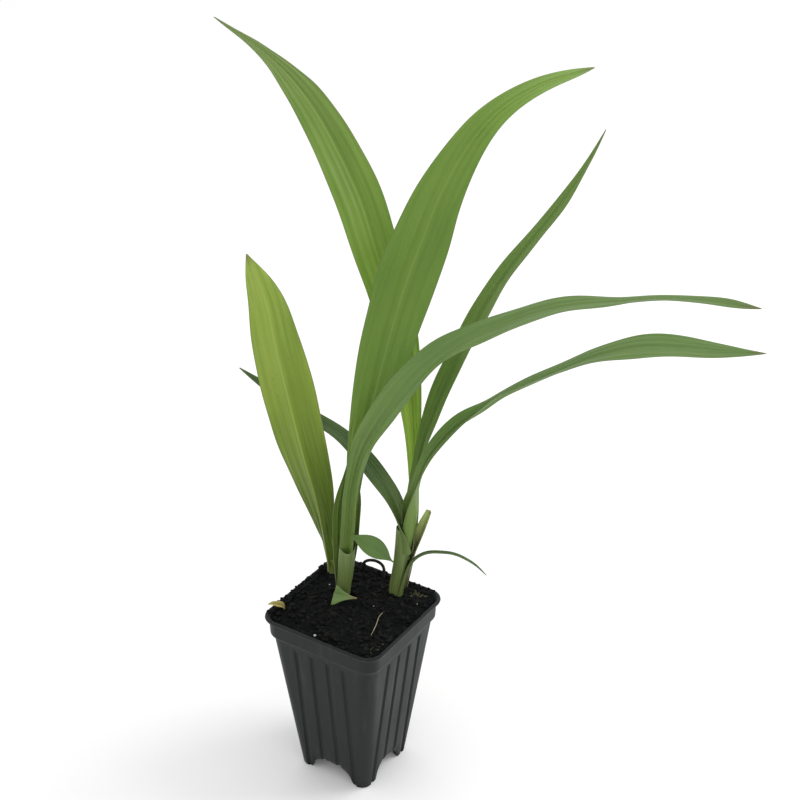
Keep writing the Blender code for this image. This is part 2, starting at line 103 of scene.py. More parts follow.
RIM_OLIVE = (0.12, 0.13, 0.07)
SPOT_BROWN = (0.09, 0.1, 0.02)
TIP_BROWN = (0.16, 0.12, 0.07)
POT_DARK = (0.0105, 0.0125, 0.013)
POT_LIGHT = (0.019, 0.0205, 0.0205)
POT_SMEAR = (0.048, 0.049, 0.045)
SOIL_DARK = (0.0012, 0.0016, 0.0016)
SOIL_LIGHT = (0.006, 0.007, 0.0068)
SOIL_MOSS = (0.03, 0.031, 0.018)


def nodes_of(name, roughness, specular=DEFAULT_SPECULAR):
    made = bpy.data.materials.new(name)
    made.use_nodes = True
    tree = made.node_tree
    shader = tree.nodes["Principled BSDF"]
    shader.inputs["Roughness"].default_value = roughness
    shader.inputs["Specular IOR Level"].default_value = specular
    return made, tree, shader


def noise_node(tree, source, scale, detail, stretch=(1, 1, 1), roughness=0.5):
    mapping = tree.nodes.new("ShaderNodeMapping")
    mapping.inputs["Scale"].default_value = stretch
    tree.links.new(source, mapping.inputs["Vector"])
    made = tree.nodes.new("ShaderNodeTexNoise")
    made.inputs["Scale"].default_value = scale
    made.inputs["Detail"].default_value = detail
    made.inputs["Roughness"].default_value = roughness
    tree.links.new(mapping.outputs["Vector"], made.inputs["Vector"])
    return made.outputs["Fac"]


def ramp(tree, source, stops):
    """Grey values or colours at places from 0 to 1, read at the source's value."""
    made = tree.nodes.new("ShaderNodeValToRGB")
    elements = made.color_ramp.elements
    elements.remove(elements[-1])
    for k, (place, colour) in enumerate(stops):
        element = elements.new(place) if k else elements[0]
        element.position = place
        shade = colour if isinstance(colour, tuple) else (colour, colour, colour)
        element.color = (*shade, 1.0)
    tree.links.new(source, made.inputs["Fac"])
    return made.outputs["Color"]


def fade(tree, source, start, end, before=0.0, after=1.0):
    """One value up to the start and another from the end on, with a straight change between them."""
    return ramp(tree, source, [(start, before), (end, after)])


def fill(tree, socket, value):
    """Links the socket to another node's output, or sets it to a number or a colour."""
    if isinstance(value, bpy.types.NodeSocket):
        tree.links.new(value, socket)
    elif isinstance(value, tuple):
        socket.default_value = (*value, 1.0)
    else:
        socket.default_value = value


def mix(tree, share, first, second, blend="MIX"):
    made = tree.nodes.new("ShaderNodeMix")
    made.data_type = "RGBA"
    made.blend_type = blend
    colour_inputs = [s for s in made.inputs if s.type == "RGBA"]
    for socket, value in zip((made.inputs[0], *colour_inputs), (share, first, second)):
        fill(tree, socket, value)
    return [s for s in made.outputs if s.type == "RGBA"][0]


def maths(tree, operation, first, second=0.0):
    made = tree.nodes.new("ShaderNodeMath")
    made.operation = operation
    fill(tree, made.inputs[0], first)
    fill(tree, made.inputs[1], second)
    return made.outputs[0]


def tint(tree, base, mask, colour, amount):
    """The base turned towards a colour, by at most the amount, where the mask is bright."""
    return mix(tree, maths(tree, "MULTIPLY", mask, amount), base, colour)


def darker(tree, base, keeps):
    return mix(tree, 1.0, base, keeps, "MULTIPLY")


def bump(tree, shader, height, strength, distance):
    made = tree.nodes.new("ShaderNodeBump")
    made.inputs["Strength"].default_value = strength
    made.inputs["Distance"].default_value = distance
    tree.links.new(height, made.inputs["Height"])
    tree.links.new(made.outputs["Normal"], shader.inputs["Normal"])


def uv_layer(tree, layer):
    source = tree.nodes.new("ShaderNodeUVMap")
    source.uv_map = layer
    return source.outputs["UV"]


def split(tree, vector):
    parts = tree.nodes.new("ShaderNodeSeparateXYZ")
    tree.links.new(vector, parts.inputs["Vector"])
    return parts.outputs["X"], parts.outputs["Y"]


def leaf_spots(tree, real):
    """Small round spots, in a few patches of the leaf."""
    cells = tree.nodes.new("ShaderNodeTexVoronoi")
    cells.inputs["Scale"].default_value = SPOT_SCALE
    tree.links.new(real, cells.inputs["Vector"])
    spot = fade(tree, cells.outputs["Distance"], 0.05, 0.12, 1.0, 0.0)
    few = fade(tree, noise_node(tree, real, scale=0.09, detail=1.0), 0.5, 0.62)
    return maths(tree, "MULTIPLY", spot, few)


def leaf_material(name, low, middle, high, vein, speck=0.0, streak=0.5, first=0.0):
    """Leaf colours from base to tip, with blotches, streaks, a midrib, an olive rim and a brown tip."""
    made, tree, shader = nodes_of(name, LEAF_ROUGHNESS, LEAF_SPECULAR)
    across, along = split(tree, uv_layer(tree, "blade"))
    real = uv_layer(tree, "mm")
    base = ramp(tree, along, [(first, low), (first + 0.4, middle), (1.0, high)])
    patches = noise_node(tree, real, scale=0.055, detail=3.0, stretch=(1, 0.35, 1))
    blotch = fade(tree, patches, 0.35, 0.7)
    base = mix(tree, blotch, base, darker(tree, base, BLOTCH_KEEPS))
    broad = noise_node(tree, real, scale=0.42, detail=1.0, stretch=(1, 0.012, 1))
    fine = noise_node(tree, real, scale=1.7, detail=2.0, stretch=(1, 0.012, 1))
    dark = fade(tree, broad, 0.38, 0.52, 1.0, 0.0)
    base = tint(tree, base, dark, darker(tree, base, STREAK_KEEPS), amount=0.55 * streak)
    light = fade(tree, fine, 0.55, 0.75)
    base = tint(tree, base, light, vein, amount=0.5 * streak)
    off_middle = maths(tree, "ABSOLUTE", maths(tree, "SUBTRACT", across, 0.5))
    rim = fade(tree, off_middle, 0.47, 0.5)
    base = tint(tree, base, rim, RIM_OLIVE, amount=0.6)
    midrib = fade(tree, off_middle, 0.0, 0.028, 1.0, 0.0)
    base = tint(tree, base, midrib, vein, amount=0.5)
    if speck:
        base = tint(tree, base, leaf_spots(tree, real), SPOT_BROWN, amount=speck)
    tip = fade(tree, along, 0.965, 1.0)
    base = tint(tree, base, tip, TIP_BROWN, amount=0.6)
    tree.links.new(base, shader.inputs["Base Color"])
    shader.inputs["Subsurface Weight"].default_value = LEAF_SCATTER
    shader.inputs["Subsurface Radius"].default_value = SCATTER_RADIUS
    shader.inputs["Subsurface Scale"].default_value = 1.0
    height = maths(tree, "ADD", maths(tree, "MULTIPLY", broad, 0.5), fine)
    bump(tree, shader, height, strength=0.35, distance=0.0002)
    return made


def stem_material(name, low, high, line, brown):
    """Stalk colours from foot to mouth, with lengthwise lines, and brown at the foot."""
    made, tree, shader = nodes_of(name, STEM_ROUGHNESS)
    _, along = split(tree, uv_layer(tree, "blade"))
    real = uv_layer(tree, "mm")
    base = ramp(tree, along, [(0.0, brown), (0.18, low), (1.0, high)])
    lines = noise_node(tree, real, scale=1.3, detail=2.0, stretch=(1, 0.03, 1))
    base = tint(tree, base, fade(tree, lines, 0.5, 0.72), line, amount=0.55)
    streaks = noise_node(tree, real, scale=0.5, detail=1.0, stretch=(1, 0.05, 1))
    dark = fade(tree, streaks, 0.35, 0.5, 1.0, 0.0)
    base = tint(tree, base, dark, darker(tree, base, STEM_STREAK_KEEPS), amount=0.4)
    tree.links.new(base, shader.inputs["Base Color"])
    shader.inputs["Subsurface Weight"].default_value = STEM_SCATTER
    shader.inputs["Subsurface Radius"].default_value = SCATTER_RADIUS
    bump(tree, shader, lines, strength=0.3, distance=0.0003)
    return made


def plastic_material():
    """Black plastic with a little dust and dried smears."""
    made, tree, shader = nodes_of("pot_plastic", PLASTIC_ROUGHNESS, PLASTIC_SPECULAR)
    place = tree.nodes.new("ShaderNodeTexCoord").outputs["Object"]
    dust = noise_node(tree, place, scale=45.0, detail=5.0, stretch=(1, 1, 0.5), roughness=0.6)
    base = mix(tree, fade(tree, dust, 0.4, 0.8), POT_DARK, POT_LIGHT)
    runs = noise_node(tree, place, scale=180.0, detail=3.0, stretch=(1, 1, 0.12), roughness=0.6)
    base = tint(tree, base, fade(tree, runs, 0.56, 0.75), POT_SMEAR, amount=0.35)
    tree.links.new(base, shader.inputs["Base Color"])
    tree.links.new(fade(tree, dust, 0.3, 0.75, 0.4, 0.6), shader.inputs["Roughness"])
    grain = noise_node(tree, place, scale=2500.0, detail=2.0)
    bump(tree, shader, grain, strength=0.12, distance=0.0001)
    return made


def soil_material():
    made, tree, shader = nodes_of("soil_mix", SOIL_ROUGHNESS, GRAIN_SPECULAR)
    place = tree.nodes.new("ShaderNodeTexCoord").outputs["Object"]
    grain = noise_node(tree, place, scale=900.0, detail=4.0, roughness=0.65)
    base = mix(tree, fade(tree, grain, 0.35, 0.7), SOIL_DARK, SOIL_LIGHT)
    patches = noise_node(tree, place, scale=160.0, detail=3.0)
    base = tint(tree, base, fade(tree, patches, 0.6, 0.72), SOIL_MOSS, amount=0.4)
    tree.links.new(base, shader.inputs["Base Color"])
    bump(tree, shader, grain, strength=0.9, distance=0.0006)
    return made


def speck_material(name, dark, light):
    """Mottled colour for crumbs, bark, moss, root and fibre."""
    made, tree, shader = nodes_of(name, SPECK_ROUGHNESS, GRAIN_SPECULAR)
    place = tree.nodes.new("ShaderNodeTexCoord").outputs["Object"]
    grain = noise_node(tree, place, scale=900.0, detail=3.0)
    base = mix(tree, fade(tree, grain, 0.35, 0.65), dark, light)
    tree.links.new(base, shader.inputs["Base Color"])
    bump(tree, shader, grain, strength=0.5, distance=0.0003)
    return made


# Meshes

def finish_mesh(name, points, faces, material, smooth=40, recalc=True):
    """An object from points in millimetres, shaded smooth up to the given angle in degrees."""
    mesh = bpy.data.meshes.new(name)
    mesh.from_pydata([tuple(p) for p in to_world(points)], [], faces)
    if recalc:
        shape = bmesh.new()
        shape.from_mesh(mesh)
        bmesh.ops.recalc_face_normals(shape, faces=shape.faces)
        shape.to_mesh(mesh)
        shape.free()
    mesh.materials.append(material)
    made = bpy.data.objects.new(name, mesh)
    bpy.context.scene.collection.objects.link(made)
    mesh.shade_smooth()
    mesh.set_sharp_from_angle(angle=math.radians(smooth))
    return made


def set_uv(mesh, layer, values):
    """One pair of numbers for each vertex, written to every corner that uses it."""
    made = mesh.uv_layers.new(name=layer)
    index = np.empty(len(mesh.loops), int)
    mesh.loops.foreach_get("vertex_index", index)
    made.data.foreach_set("uv", np.asarray(values, float)[index].ravel())


def place_piece(piece, node):
    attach(piece, "root")
    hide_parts(node)


def smooth_rows(rows, count, soften):
    """Rows of numbers spread evenly along the given ones, then softened along their length."""
    given = np.array(rows, float)
    steps = np.linalg.norm(np.diff(given[:, :3], axis=0), axis=1)
    along = np.concatenate([[0.0], np.cumsum(steps)])
    slopes = np.gradient(given, along, axis=0)
    places = np.linspace(0.0, along[-1], count)
    k = np.clip(np.searchsorted(along, places, side="right") - 1, 0, len(along) - 2)
    length = along[k + 1] - along[k]
    t = ((places - along[k]) / length)[:, None]
    length = length[:, None]
    dense = (
        (2 * t**3 - 3 * t**2 + 1) * given[k]
        + (t**3 - 2 * t**2 + t) * length * slopes[k]
        + (-2 * t**3 + 3 * t**2) * given[k + 1]
        + (t**3 - t**2) * length * slopes[k + 1]
    )
    reach = max(1, int(round(3 * soften / (along[-1] / (count - 1)))))
    offsets = np.arange(-reach, reach + 1)
    weights = np.exp(-0.5 * (3.0 * offsets / reach) ** 2)
    weights /= weights.sum()
    before = 2 * dense[0] - dense[reach:0:-1]
    after = 2 * dense[-1] - dense[-2:-reach - 2:-1]
    padded = np.concatenate([before, dense, after])
    soft = np.array([np.convolve(padded[:, c], weights, mode="valid") for c in range(dense.shape[1])]).T
    return soft, places


def grid_solid(upper, lower):
    """Points and faces of a closed sheet between two like grids of points."""
    row_count, column_count = upper.shape[:2]
    shift = row_count * column_count
    faces = []
    for r in range(row_count - 1):
        for c in range(column_count - 1):
            a = r * column_count + c
            b = a + 1
            d = a + column_count
            e = d + 1
            faces.append((a, b, e, d))
            faces.append((a + shift, d + shift, e + shift, b + shift))
    for r in range(row_count - 1):
        for c in (0, column_count - 1):
            a = r * column_count + c
            d = a + column_count
            faces.append((a, d, d + shift, a + shift))
    for r in (0, row_count - 1):
        for c in range(column_count - 1):
            a = r * column_count + c
            faces.append((a, a + 1, a + 1 + shift, a + shift))
    points = np.concatenate([upper.reshape(-1, 3), lower.reshape(-1, 3)])
    return points, faces


def tube_faces(ring_count, sides):
    """Faces of a tube of equal rings, closed at both ends."""
    faces = []
    for r in range(ring_count - 1):
        for k in range(sides):
            a = r * sides + k
            b = r * sides + (k + 1) % sides
            faces.append((a, b, b + sides, a + sides))
    last = (ring_count - 1) * sides
    faces.append(tuple(range(sides)))
    faces.append(tuple(last + k for k in range(sides)))
    return faces


# Leaves

BEND_STEPS = 80
CREASE_SHARE = 0.05
FOLD_BIAS = 0.9
EDGE_CROWDING = 0.86
LEAST_HALF_WIDTH = 0.28
FULL_RELIEF_HALF_WIDTH = 7.0
BASE_LENGTH = 40.0
FULL_BODY_HALF_WIDTH = 1.2
RIB_SHARE = 0.07
RIB_RISE = 0.9
RIB_SINK = 0.4
RIM_THINNING = 0.55
FACE_SHARE = 0.8
PATTERN_SHIFT = 37.0
SHIFT_COUNT = 6
ROLLED_RELIEF_LOSS = 0.6
PLEAT_SHARE = 0.5
PLEAT_EDGE_FADE = 0.5

# Length in millimetres and strength of the waves along a blade's two edges
LEFT_WAVES = ((8.5, 1.0), (4.7, 0.6))
RIGHT_WAVES = ((9.7, 1.0), (5.3, 0.6))


def side_curve(half_width, fold, wrap, c):
    """A leaf's side from its midrib out: folded where it is open, rolled where it sheathes the shoot."""
    fine = np.linspace(0, 1, BEND_STEPS + 1)
    opened = fold * (1 + FOLD_BIAS * (1 - 2 * fine)) * np.clip(fine / CREASE_SHARE, 0.15, 1)
    bend = (1 - wrap) * opened + wrap * math.pi * fine
    x = np.concatenate([[0], np.cumsum((np.cos(bend[1:]) + np.cos(bend[:-1])) / 2)]) / BEND_STEPS
    z = np.concatenate([[0], np.cumsum((np.sin(bend[1:]) + np.sin(bend[:-1])) / 2)]) / BEND_STEPS
    reach = half_width * (1 + (math.cos(fold) - 1) * (1 - wrap))
    scale = reach / max(x.max(), 1e-6)
    out, rise, slope = (np.interp(np.abs(c), fine, values) for values in (x, z, bend))
    return out * scale, rise * scale, slope, scale


def blade_axes(rows, heading):
    """At each row, the directions across the blade and up out of its face."""
    lean = math.radians(heading)
    level = np.array([-math.sin(lean), math.cos(lean), 0.0])
    tangent = np.gradient(rows[:, :3], axis=0)
    tangent /= np.linalg.norm(tangent, axis=1)[:, None]
    across = level - (tangent @ level)[:, None] * tangent
    across /= np.linalg.norm(across, axis=1)[:, None]
    under = np.cross(across, tangent)
    roll = np.radians(rows[:, 4])[:, None]
    across = across * np.cos(roll) + under * np.sin(roll)
    return across, -np.cross(across, tangent)


def pleat_lines(c, shifts):
    """The lengthwise pleats, as three waves across the blade."""
    return (0.55 * np.cos(3 * math.pi * c + shifts[0]) + np.cos(6 * math.pi * np.abs(c) + 0.4)
            + 0.5 * np.cos(11 * math.pi * c + shifts[1]))


def edge_ripple(c, s, shifts):
    """How the two edges wave at this place along the blade."""
    left = sum(size * math.sin(s / length + t) for (length, size), t in zip(LEFT_WAVES, shifts[2:4]))
    right = sum(size * math.sin(s / length + t) for (length, size), t in zip(RIGHT_WAVES, shifts[4:6]))
    return np.where(c < 0, left, right)


def blade_faces(middle, up, c, places, half_width, thick):
    """The blade's upper and lower grid of points: thickest at its base and along its rib."""
    normal = np.cross(np.gradient(middle, axis=1), np.gradient(middle, axis=0))
    normal /= np.maximum(np.linalg.norm(normal, axis=2), 1e-9)[..., None]
    normal *= np.sign(np.sum(normal[:, len(c) // 2] * up, axis=1).mean())
    near = np.exp(-(places / BASE_LENGTH) ** 2)
    narrow = np.minimum(1.0, half_width / FULL_BODY_HALF_WIDTH)
    body = (thick[1] + (thick[0] - thick[1]) * near)[:, None] * narrow[:, None]
    rib = np.exp(-(c / RIB_SHARE) ** 2)
    depth = body * (1 + RIB_RISE * rib) * (1 - RIM_THINNING * np.abs(c) ** 6) / 2
    upper = middle + normal * depth[..., None] * FACE_SHARE
    lower = middle - normal * depth[..., None] * (FACE_SHARE + RIB_SINK * rib)[None, :, None]
    return upper, lower


def leaf(name, stations, material, slot, node, heading, seed, step=1.6, columns=41, soften=4.0,
         thick=(1.1, 0.42), pleat=0.3, wave=0.35):
    """A blade along its midrib: creased in the middle, pleated lengthwise and a little wavy at its edges.

    The heading is the way it leaves the shoot, in degrees, and thick its thickness at the base and beyond.
    """
    stations = [row + (0.0,) * (7 - len(row)) for row in stations]
    total = sum(math.dist(a[:3], b[:3]) for a, b in zip(stations, stations[1:]))
    count = max(16, int(total / step))
    rows, places = smooth_rows(stations, count, soften)
    shifts = np.random.default_rng(seed).uniform(0, 2 * math.pi, SHIFT_COUNT)
    across, up = blade_axes(rows, heading)
    c = np.sin(np.linspace(-1, 1, columns) * math.pi / 2 * EDGE_CROWDING)
    c /= math.sin(math.pi / 2 * EDGE_CROWDING)
    half_width = np.maximum(rows[:, 3], LEAST_HALF_WIDTH)
    fold = np.radians(np.maximum(rows[:, 5], 0.0))
    wrap = np.clip(rows[:, 6], 0.0, 1.0)
    middle = np.zeros((count, columns, 3))
    arc = np.zeros(count)
    for r in range(count):
        x, z, bend, arc[r] = side_curve(half_width[r], fold[r], wrap[r], c)
        size = min(1.0, half_width[r] / FULL_RELIEF_HALF_WIDTH) * (1 - ROLLED_RELIEF_LOSS * wrap[r])
        lift = pleat * size * pleat_lines(c, shifts) * PLEAT_SHARE * (1 - PLEAT_EDGE_FADE * c**4)
        lift = lift + wave * size * np.abs(c) ** 3 * edge_ripple(c, places[r], shifts)
        x = (x - np.sin(bend) * lift) * np.sign(c)
        z = z + np.cos(bend) * lift
        middle[r] = rows[r, :3] + across[r] * x[:, None] + up[r] * z[:, None]
    points, faces = grid_solid(*blade_faces(middle, up, c, places, half_width, thick))
    piece = finish_mesh(name, points, faces, material, smooth=70)
    u = np.tile((c + 1) / 2, count * 2)
    v = np.tile(np.repeat(places / places[-1], columns), 2)
    set_uv(piece.data, "blade", np.c_[u, v])
    wide = np.tile((c[None, :] * arc[:, None]).ravel(), 2) + PATTERN_SHIFT * seed
    long = np.tile(np.repeat(places, columns), 2)
    set_uv(piece.data, "mm", np.c_[wide, long])
    place_piece(piece, node)


# Stalks

STALK_SIDES = 48
STALK_STEP = 0.8
STALK_PATTERN_RADIUS = 3.4
MOUTH_RISE = 12.0

# Share of the top ring's width, and drop below it in millimetres, of the rings that close the mouth
MOUTH_RINGS = ((0.97, -0.1), (0.92, 0.1), (0.9, 5.0), (0.85, 11.0))

# How a sheath's edge turns round the stalk, and how wide its two slopes are, in radians
RIDGE_TWIST = 0.012
RIDGE_GENTLE = 0.9
RIDGE_STEEP = 0.08


def stalk_radius(radius, s, angle, ridges):
    """The stalk's radius round one ring: round, with sheath edges that step up and slowly turn."""
    outline = np.full(STALK_SIDES, radius)
    for place, height in ridges:
        off = (angle - place * 2 * math.pi - RIDGE_TWIST * s + math.pi) % (2 * math.pi) - math.pi
        step = np.where(off < 0, np.exp(off / RIDGE_GENTLE), np.exp(-off / RIDGE_STEEP))
        outline = outline + height * step
    return outline * (1 + 0.012 * np.cos(9 * angle + 0.02 * s) + 0.008 * np.cos(17 * angle))


def stem(name, rows, material, node, ridges, lip, low_side=304.0):
    """A stalk of wrapped leaf bases: a tube with raised sheath edges and a thin mouth, cut on a slant."""
    total = sum(math.dist(a[:3], b[:3]) for a, b in zip(rows, rows[1:]))
    path, places = smooth_rows(rows, int(total / STALK_STEP), 2.0)
    angle = np.linspace(0, 2 * math.pi, STALK_SIDES, endpoint=False)
    slant = lip * (0.5 - 0.5 * np.cos(angle - math.radians(low_side))) ** 0.7
    rings = []
    for row, s in zip(path, places):
        radius = stalk_radius(row[3], s, angle, ridges)
        raised = slant * np.clip((s - places[-1] + MOUTH_RISE) / MOUTH_RISE, 0, 1)
        rings.append(np.c_[row[0] + radius * np.cos(angle), row[1] + radius * np.sin(angle), row[2] + raised])
    centre = path[-1][:3]
    top = rings[-1]
    for share, drop in MOUTH_RINGS:
        ring = centre + (top - centre) * np.array([share, share, 1.0])
        ring[:, 2] -= drop
        rings.append(ring)
    points = np.array(rings).reshape(-1, 3)
    piece = finish_mesh(name, points, tube_faces(len(rings), STALK_SIDES), material, smooth=50)
    v = np.concatenate([places / places[-1], np.ones(len(MOUTH_RINGS))])
    long = np.concatenate([places, np.full(len(MOUTH_RINGS), places[-1])])
    u = np.tile(np.abs(angle / math.pi - 1), len(rings))
    wide = np.tile(np.abs(angle - math.pi) * STALK_PATTERN_RADIUS, len(rings))
    set_uv(piece.data, "blade", np.c_[u, np.repeat(v, STALK_SIDES)])
    set_uv(piece.data, "mm", np.c_[wide, np.repeat(long, STALK_SIDES)])
    place_piece(piece, node)


# Rows from base to tip, in millimetres and degrees: x, y, z, half width, roll and fold,
# then how far the leaf wraps round the shoot, from 0 to 1

BROAD = (
    (-8.6, 9.6, 104.0, 2.2, -40, 34), (-8.7, 10.8, 117.0, 2.7, -42, 34),
    (-7.9, 12.2, 139.2, 3.3, -45, 30), (-6.3, 14.4, 165.3, 5.6, -45, 24),
    (-1.6, 19.0, 190.4, 9.8, -45, 18), (1.6, 23.5, 211.9, 12.0, -45, 14),
    (4.1, 27.4, 228.1, 12.8, -45, 12), (7.2, 32.3, 246.2, 13.7, -45, 11),
    (10.7, 38.6, 263.5, 13.0, -45, 11), (13.9, 45.4, 280.3, 11.1, -45, 11),
    (18.1, 55.1, 296.3, 8.6, -45, 11), (24.5, 68.6, 311.5, 6.2, -44, 11),
    (35.4, 93.2, 322.4, 4.0, -40, 10), (44.5, 113.1, 325.2, 1.9, -38, 8),
    (47.7, 121.0, 325.9, 0.3, -38, 0),
)
ARCHING_FRONT = (
    (-8.8, 7.5, 108.0, 2.9, -100, 22, 0.3), (-8.2, 8.0, 118.0, 3.4, -100, 24, 0.3),
    (-7.5, 8.6, 128.0, 3.7, -99, 26, 0.28), (-6.6, 9.1, 143.0, 3.8, -96, 30, 0.25),
    (-3.3, 8.5, 158.0, 4.4, -86, 32, 0.15), (2.8, 7.3, 172.5, 7.0, -64, 31, 0.05),
    (13.0, 7.9, 190.8, 9.8, -47, 26), (24.7, 8.7, 208.8, 11.4, -37, 21),
    (37.4, 9.9, 224.8, 10.6, -25, 17), (51.4, 11.5, 237.0, 9.6, -17, 15),
    (65.0, 13.0, 245.8, 8.9, -15, 13), (81.2, 15.0, 255.4, 8.1, -11, 12),
    (97.2, 17.0, 262.2, 7.0, -2, 11), (113.0, 19.0, 266.7, 5.6, 4, 11), (128.4, 21.2, 271.2, 4.5, 7, 11),
    (143.7, 23.0, 273.7, 3.7, 2, 10), (158.7, 24.8, 275.0, 2.4, -10, 8),
    (166.8, 26.0, 275.3, 0.3, -10, 0),
)
SHEATH_FRONT = (
    (-11.2, 9.0, 91.0, 2.9, 0, 20, 0.6), (-11.3, 9.6, 98.0, 3.6, 0, 20, 0.55),
    (-11.5, 10.9, 107.0, 5.0, 0, 16, 0.4), (-11.6, 12.0, 119.7, 6.3, 0, 14, 0.32),
    (-11.4, 12.6, 133.0, 6.5, 0, 14, 0.3), (-10.2, 12.8, 144.0, 5.5, 0, 14, 0.25),
    (-9.6, 12.8, 151.5, 3.6, 0, 12, 0.2), (-9.4, 13.0, 159.0, 1.9, 0, 10, 0.1),
    (-9.5, 13.3, 171.0, 0.3, 0, 0),
)
OVAL = (
    (-4.6, 4.6, 124.2, 0.4, -50, 0), (-2.6, 5.6, 124.0, 1.3, -52, 4), (-0.6, 6.4, 123.1, 2.6, -53, 6),
    (2.0, 7.6, 121.6, 4.1, -55, 8), (5.0, 9.3, 119.4, 4.7, -55, 8), (7.6, 10.9, 117.0, 4.0, -55, 6),
    (9.6, 12.1, 115.0, 2.6, -55, 4), (11.0, 12.9, 113.4, 1.2, -55, 2), (12.0, 13.6, 112.2, 0.45, -55, 0),
    (13.0, 14.3, 111.0, 0.3, -55, 0),
)
UPRIGHT = (
    (12.9, 25.8, 108.0, 2.2, -8, 30), (13.2, 26.6, 122.6, 2.5, -10, 30),
    (14.4, 28.4, 143.6, 2.9, -16, 34), (16.2, 30.7, 159.0, 3.3, -16, 31),
    (17.6, 33.0, 168.9, 4.3, -14, 28), (21.3, 38.4, 188.0, 5.7, -16, 24),
    (27.8, 47.7, 212.2, 6.6, -10, 20), (37.4, 63.0, 241.6, 6.1, -2, 18), (45.2, 75.6, 258.5, 5.2, -2, 16),
    (53.2, 88.3, 275.0, 3.9, -2, 12), (59.2, 98.2, 291.8, 1.8, 0, 8), (63.1, 104.1, 304.9, 0.3, 0, 0),
)
ARCHING_RIGHT = (
    (14.4, 25.1, 112.0, 2.8, -34, 30, 1.0), (16.2, 25.9, 124.0, 2.7, -34, 30, 0.95),
    (17.2, 26.4, 133.0, 2.9, -34, 32, 0.75), (18.2, 25.4, 144.9, 2.9, -36, 34, 0.4),
    (20.0, 25.0, 153.2, 3.1, -38, 34, 0.15), (23.4, 25.6, 163.4, 3.9, -38, 33),
    (30.1, 27.9, 175.1, 5.0, -34, 32), (38.0, 30.8, 185.1, 5.4, -22, 30), (46.6, 34.0, 192.4, 5.6, 0, 27),
    (53.7, 37.1, 199.8, 5.9, 14, 22), (61.8, 40.2, 205.5, 6.3, 10, 16), (77.3, 46.4, 215.7, 7.2, 6, 12),
    (92.1, 52.4, 224.2, 8.2, 0, 10), (107.0, 58.6, 229.3, 8.6, -10, 10),
    (122.3, 64.5, 230.7, 7.8, -10, 10), (137.5, 70.7, 231.1, 5.4, -10, 9),
    (154.8, 78.6, 231.9, 0.3, -5, 0),
)
LEFT = (
    (12.2, 22.8, 113.0, 2.6, 14, 22, 0.95), (11.8, 23.0, 122.0, 3.0, 22, 24, 0.6),
    (10.3, 22.9, 131.0, 3.5, 34, 20, 0.25), (6.2, 22.4, 141.0, 4.2, 42, 16, 0.08),
    (-0.7, 21.9, 149.0, 4.7, 40, 14), (-9.5, 22.1, 156.8, 4.6, 34, 12), (-21.5, 19.3, 167.4, 3.6, 32, 12),
    (-31.0, 15.9, 173.2, 3.2, 30, 10), (-39.4, 12.9, 178.2, 3.0, 28, 10), (-48.2, 9.6, 183.6, 2.5, 26, 8),
    (-58.2, 6.1, 190.4, 1.5, 24, 6), (-64.9, 3.4, 195.4, 0.3, 24, 0),
)
TALL = (
    (11.3, 26.0, 95.0, 1.4, 57, 12), (12.3, 27.6, 108.0, 1.4, 57, 16), (14.6, 29.6, 119.0, 1.3, 50, 22),
    (15.1, 30.6, 129.5, 1.3, 42, 26), (12.4, 33.0, 141.0, 2.5, 34, 28), (9.6, 36.2, 154.7, 3.2, 28, 28),
    (7.9, 37.5, 169.4, 4.2, 24, 24), (5.2, 39.2, 183.3, 5.6, 22, 20), (0.6, 41.0, 201.6, 7.6, 18, 16),
    (-4.9, 42.5, 219.7, 9.2, 16, 14), (-12.5, 45.0, 236.6, 10.1, 15, 12),
    (-18.7, 46.1, 249.6, 10.7, 15, 12), (-31.5, 52.3, 268.8, 11.2, 15, 12),
    (-45.6, 58.7, 283.0, 10.6, 15, 12), (-64.1, 68.4, 295.9, 9.4, 15, 12),
    (-90.3, 82.6, 307.0, 6.8, 14, 10), (-113.0, 94.3, 312.6, 3.9, 12, 8),
    (-164.6, 118.5, 319.1, 0.3, 10, 0),
)
THIN = (
    (13.2, 19.4, 90.0, 1.3, 0, 0), (14.6, 20.2, 97.0, 1.4, 0, 10), (16.0, 21.0, 103.0, 1.3, 0, 16),
    (17.8, 21.6, 108.4, 1.2, 0, 16), (20.7, 22.7, 112.4, 1.2, 0, 16), (24.7, 24.2, 115.2, 1.2, 0, 14),
    (31.3, 26.2, 116.7, 1.2, 0, 12), (37.4, 28.6, 116.6, 1.1, 0, 12), (42.2, 30.6, 114.6, 1.0, 0, 10),
    (47.0, 33.0, 111.0, 0.8, 0, 8), (51.3, 34.6, 106.6, 0.3, 0, 0),
)
CUT = (
    (13.4, 23.9, 92.0, 1.8, 0, 0, 0.3), (15.0, 24.9, 101.0, 2.1, -10, 12, 0.3),
    (16.4, 26.0, 109.5, 2.6, -25, 24, 0.3), (18.4, 27.9, 118.5, 2.9, -35, 28, 0.25),
    (20.6, 30.0, 127.5, 2.5, -38, 28, 0.2), (22.0, 31.4, 133.6, 1.6, -40, 26, 0.2),
)
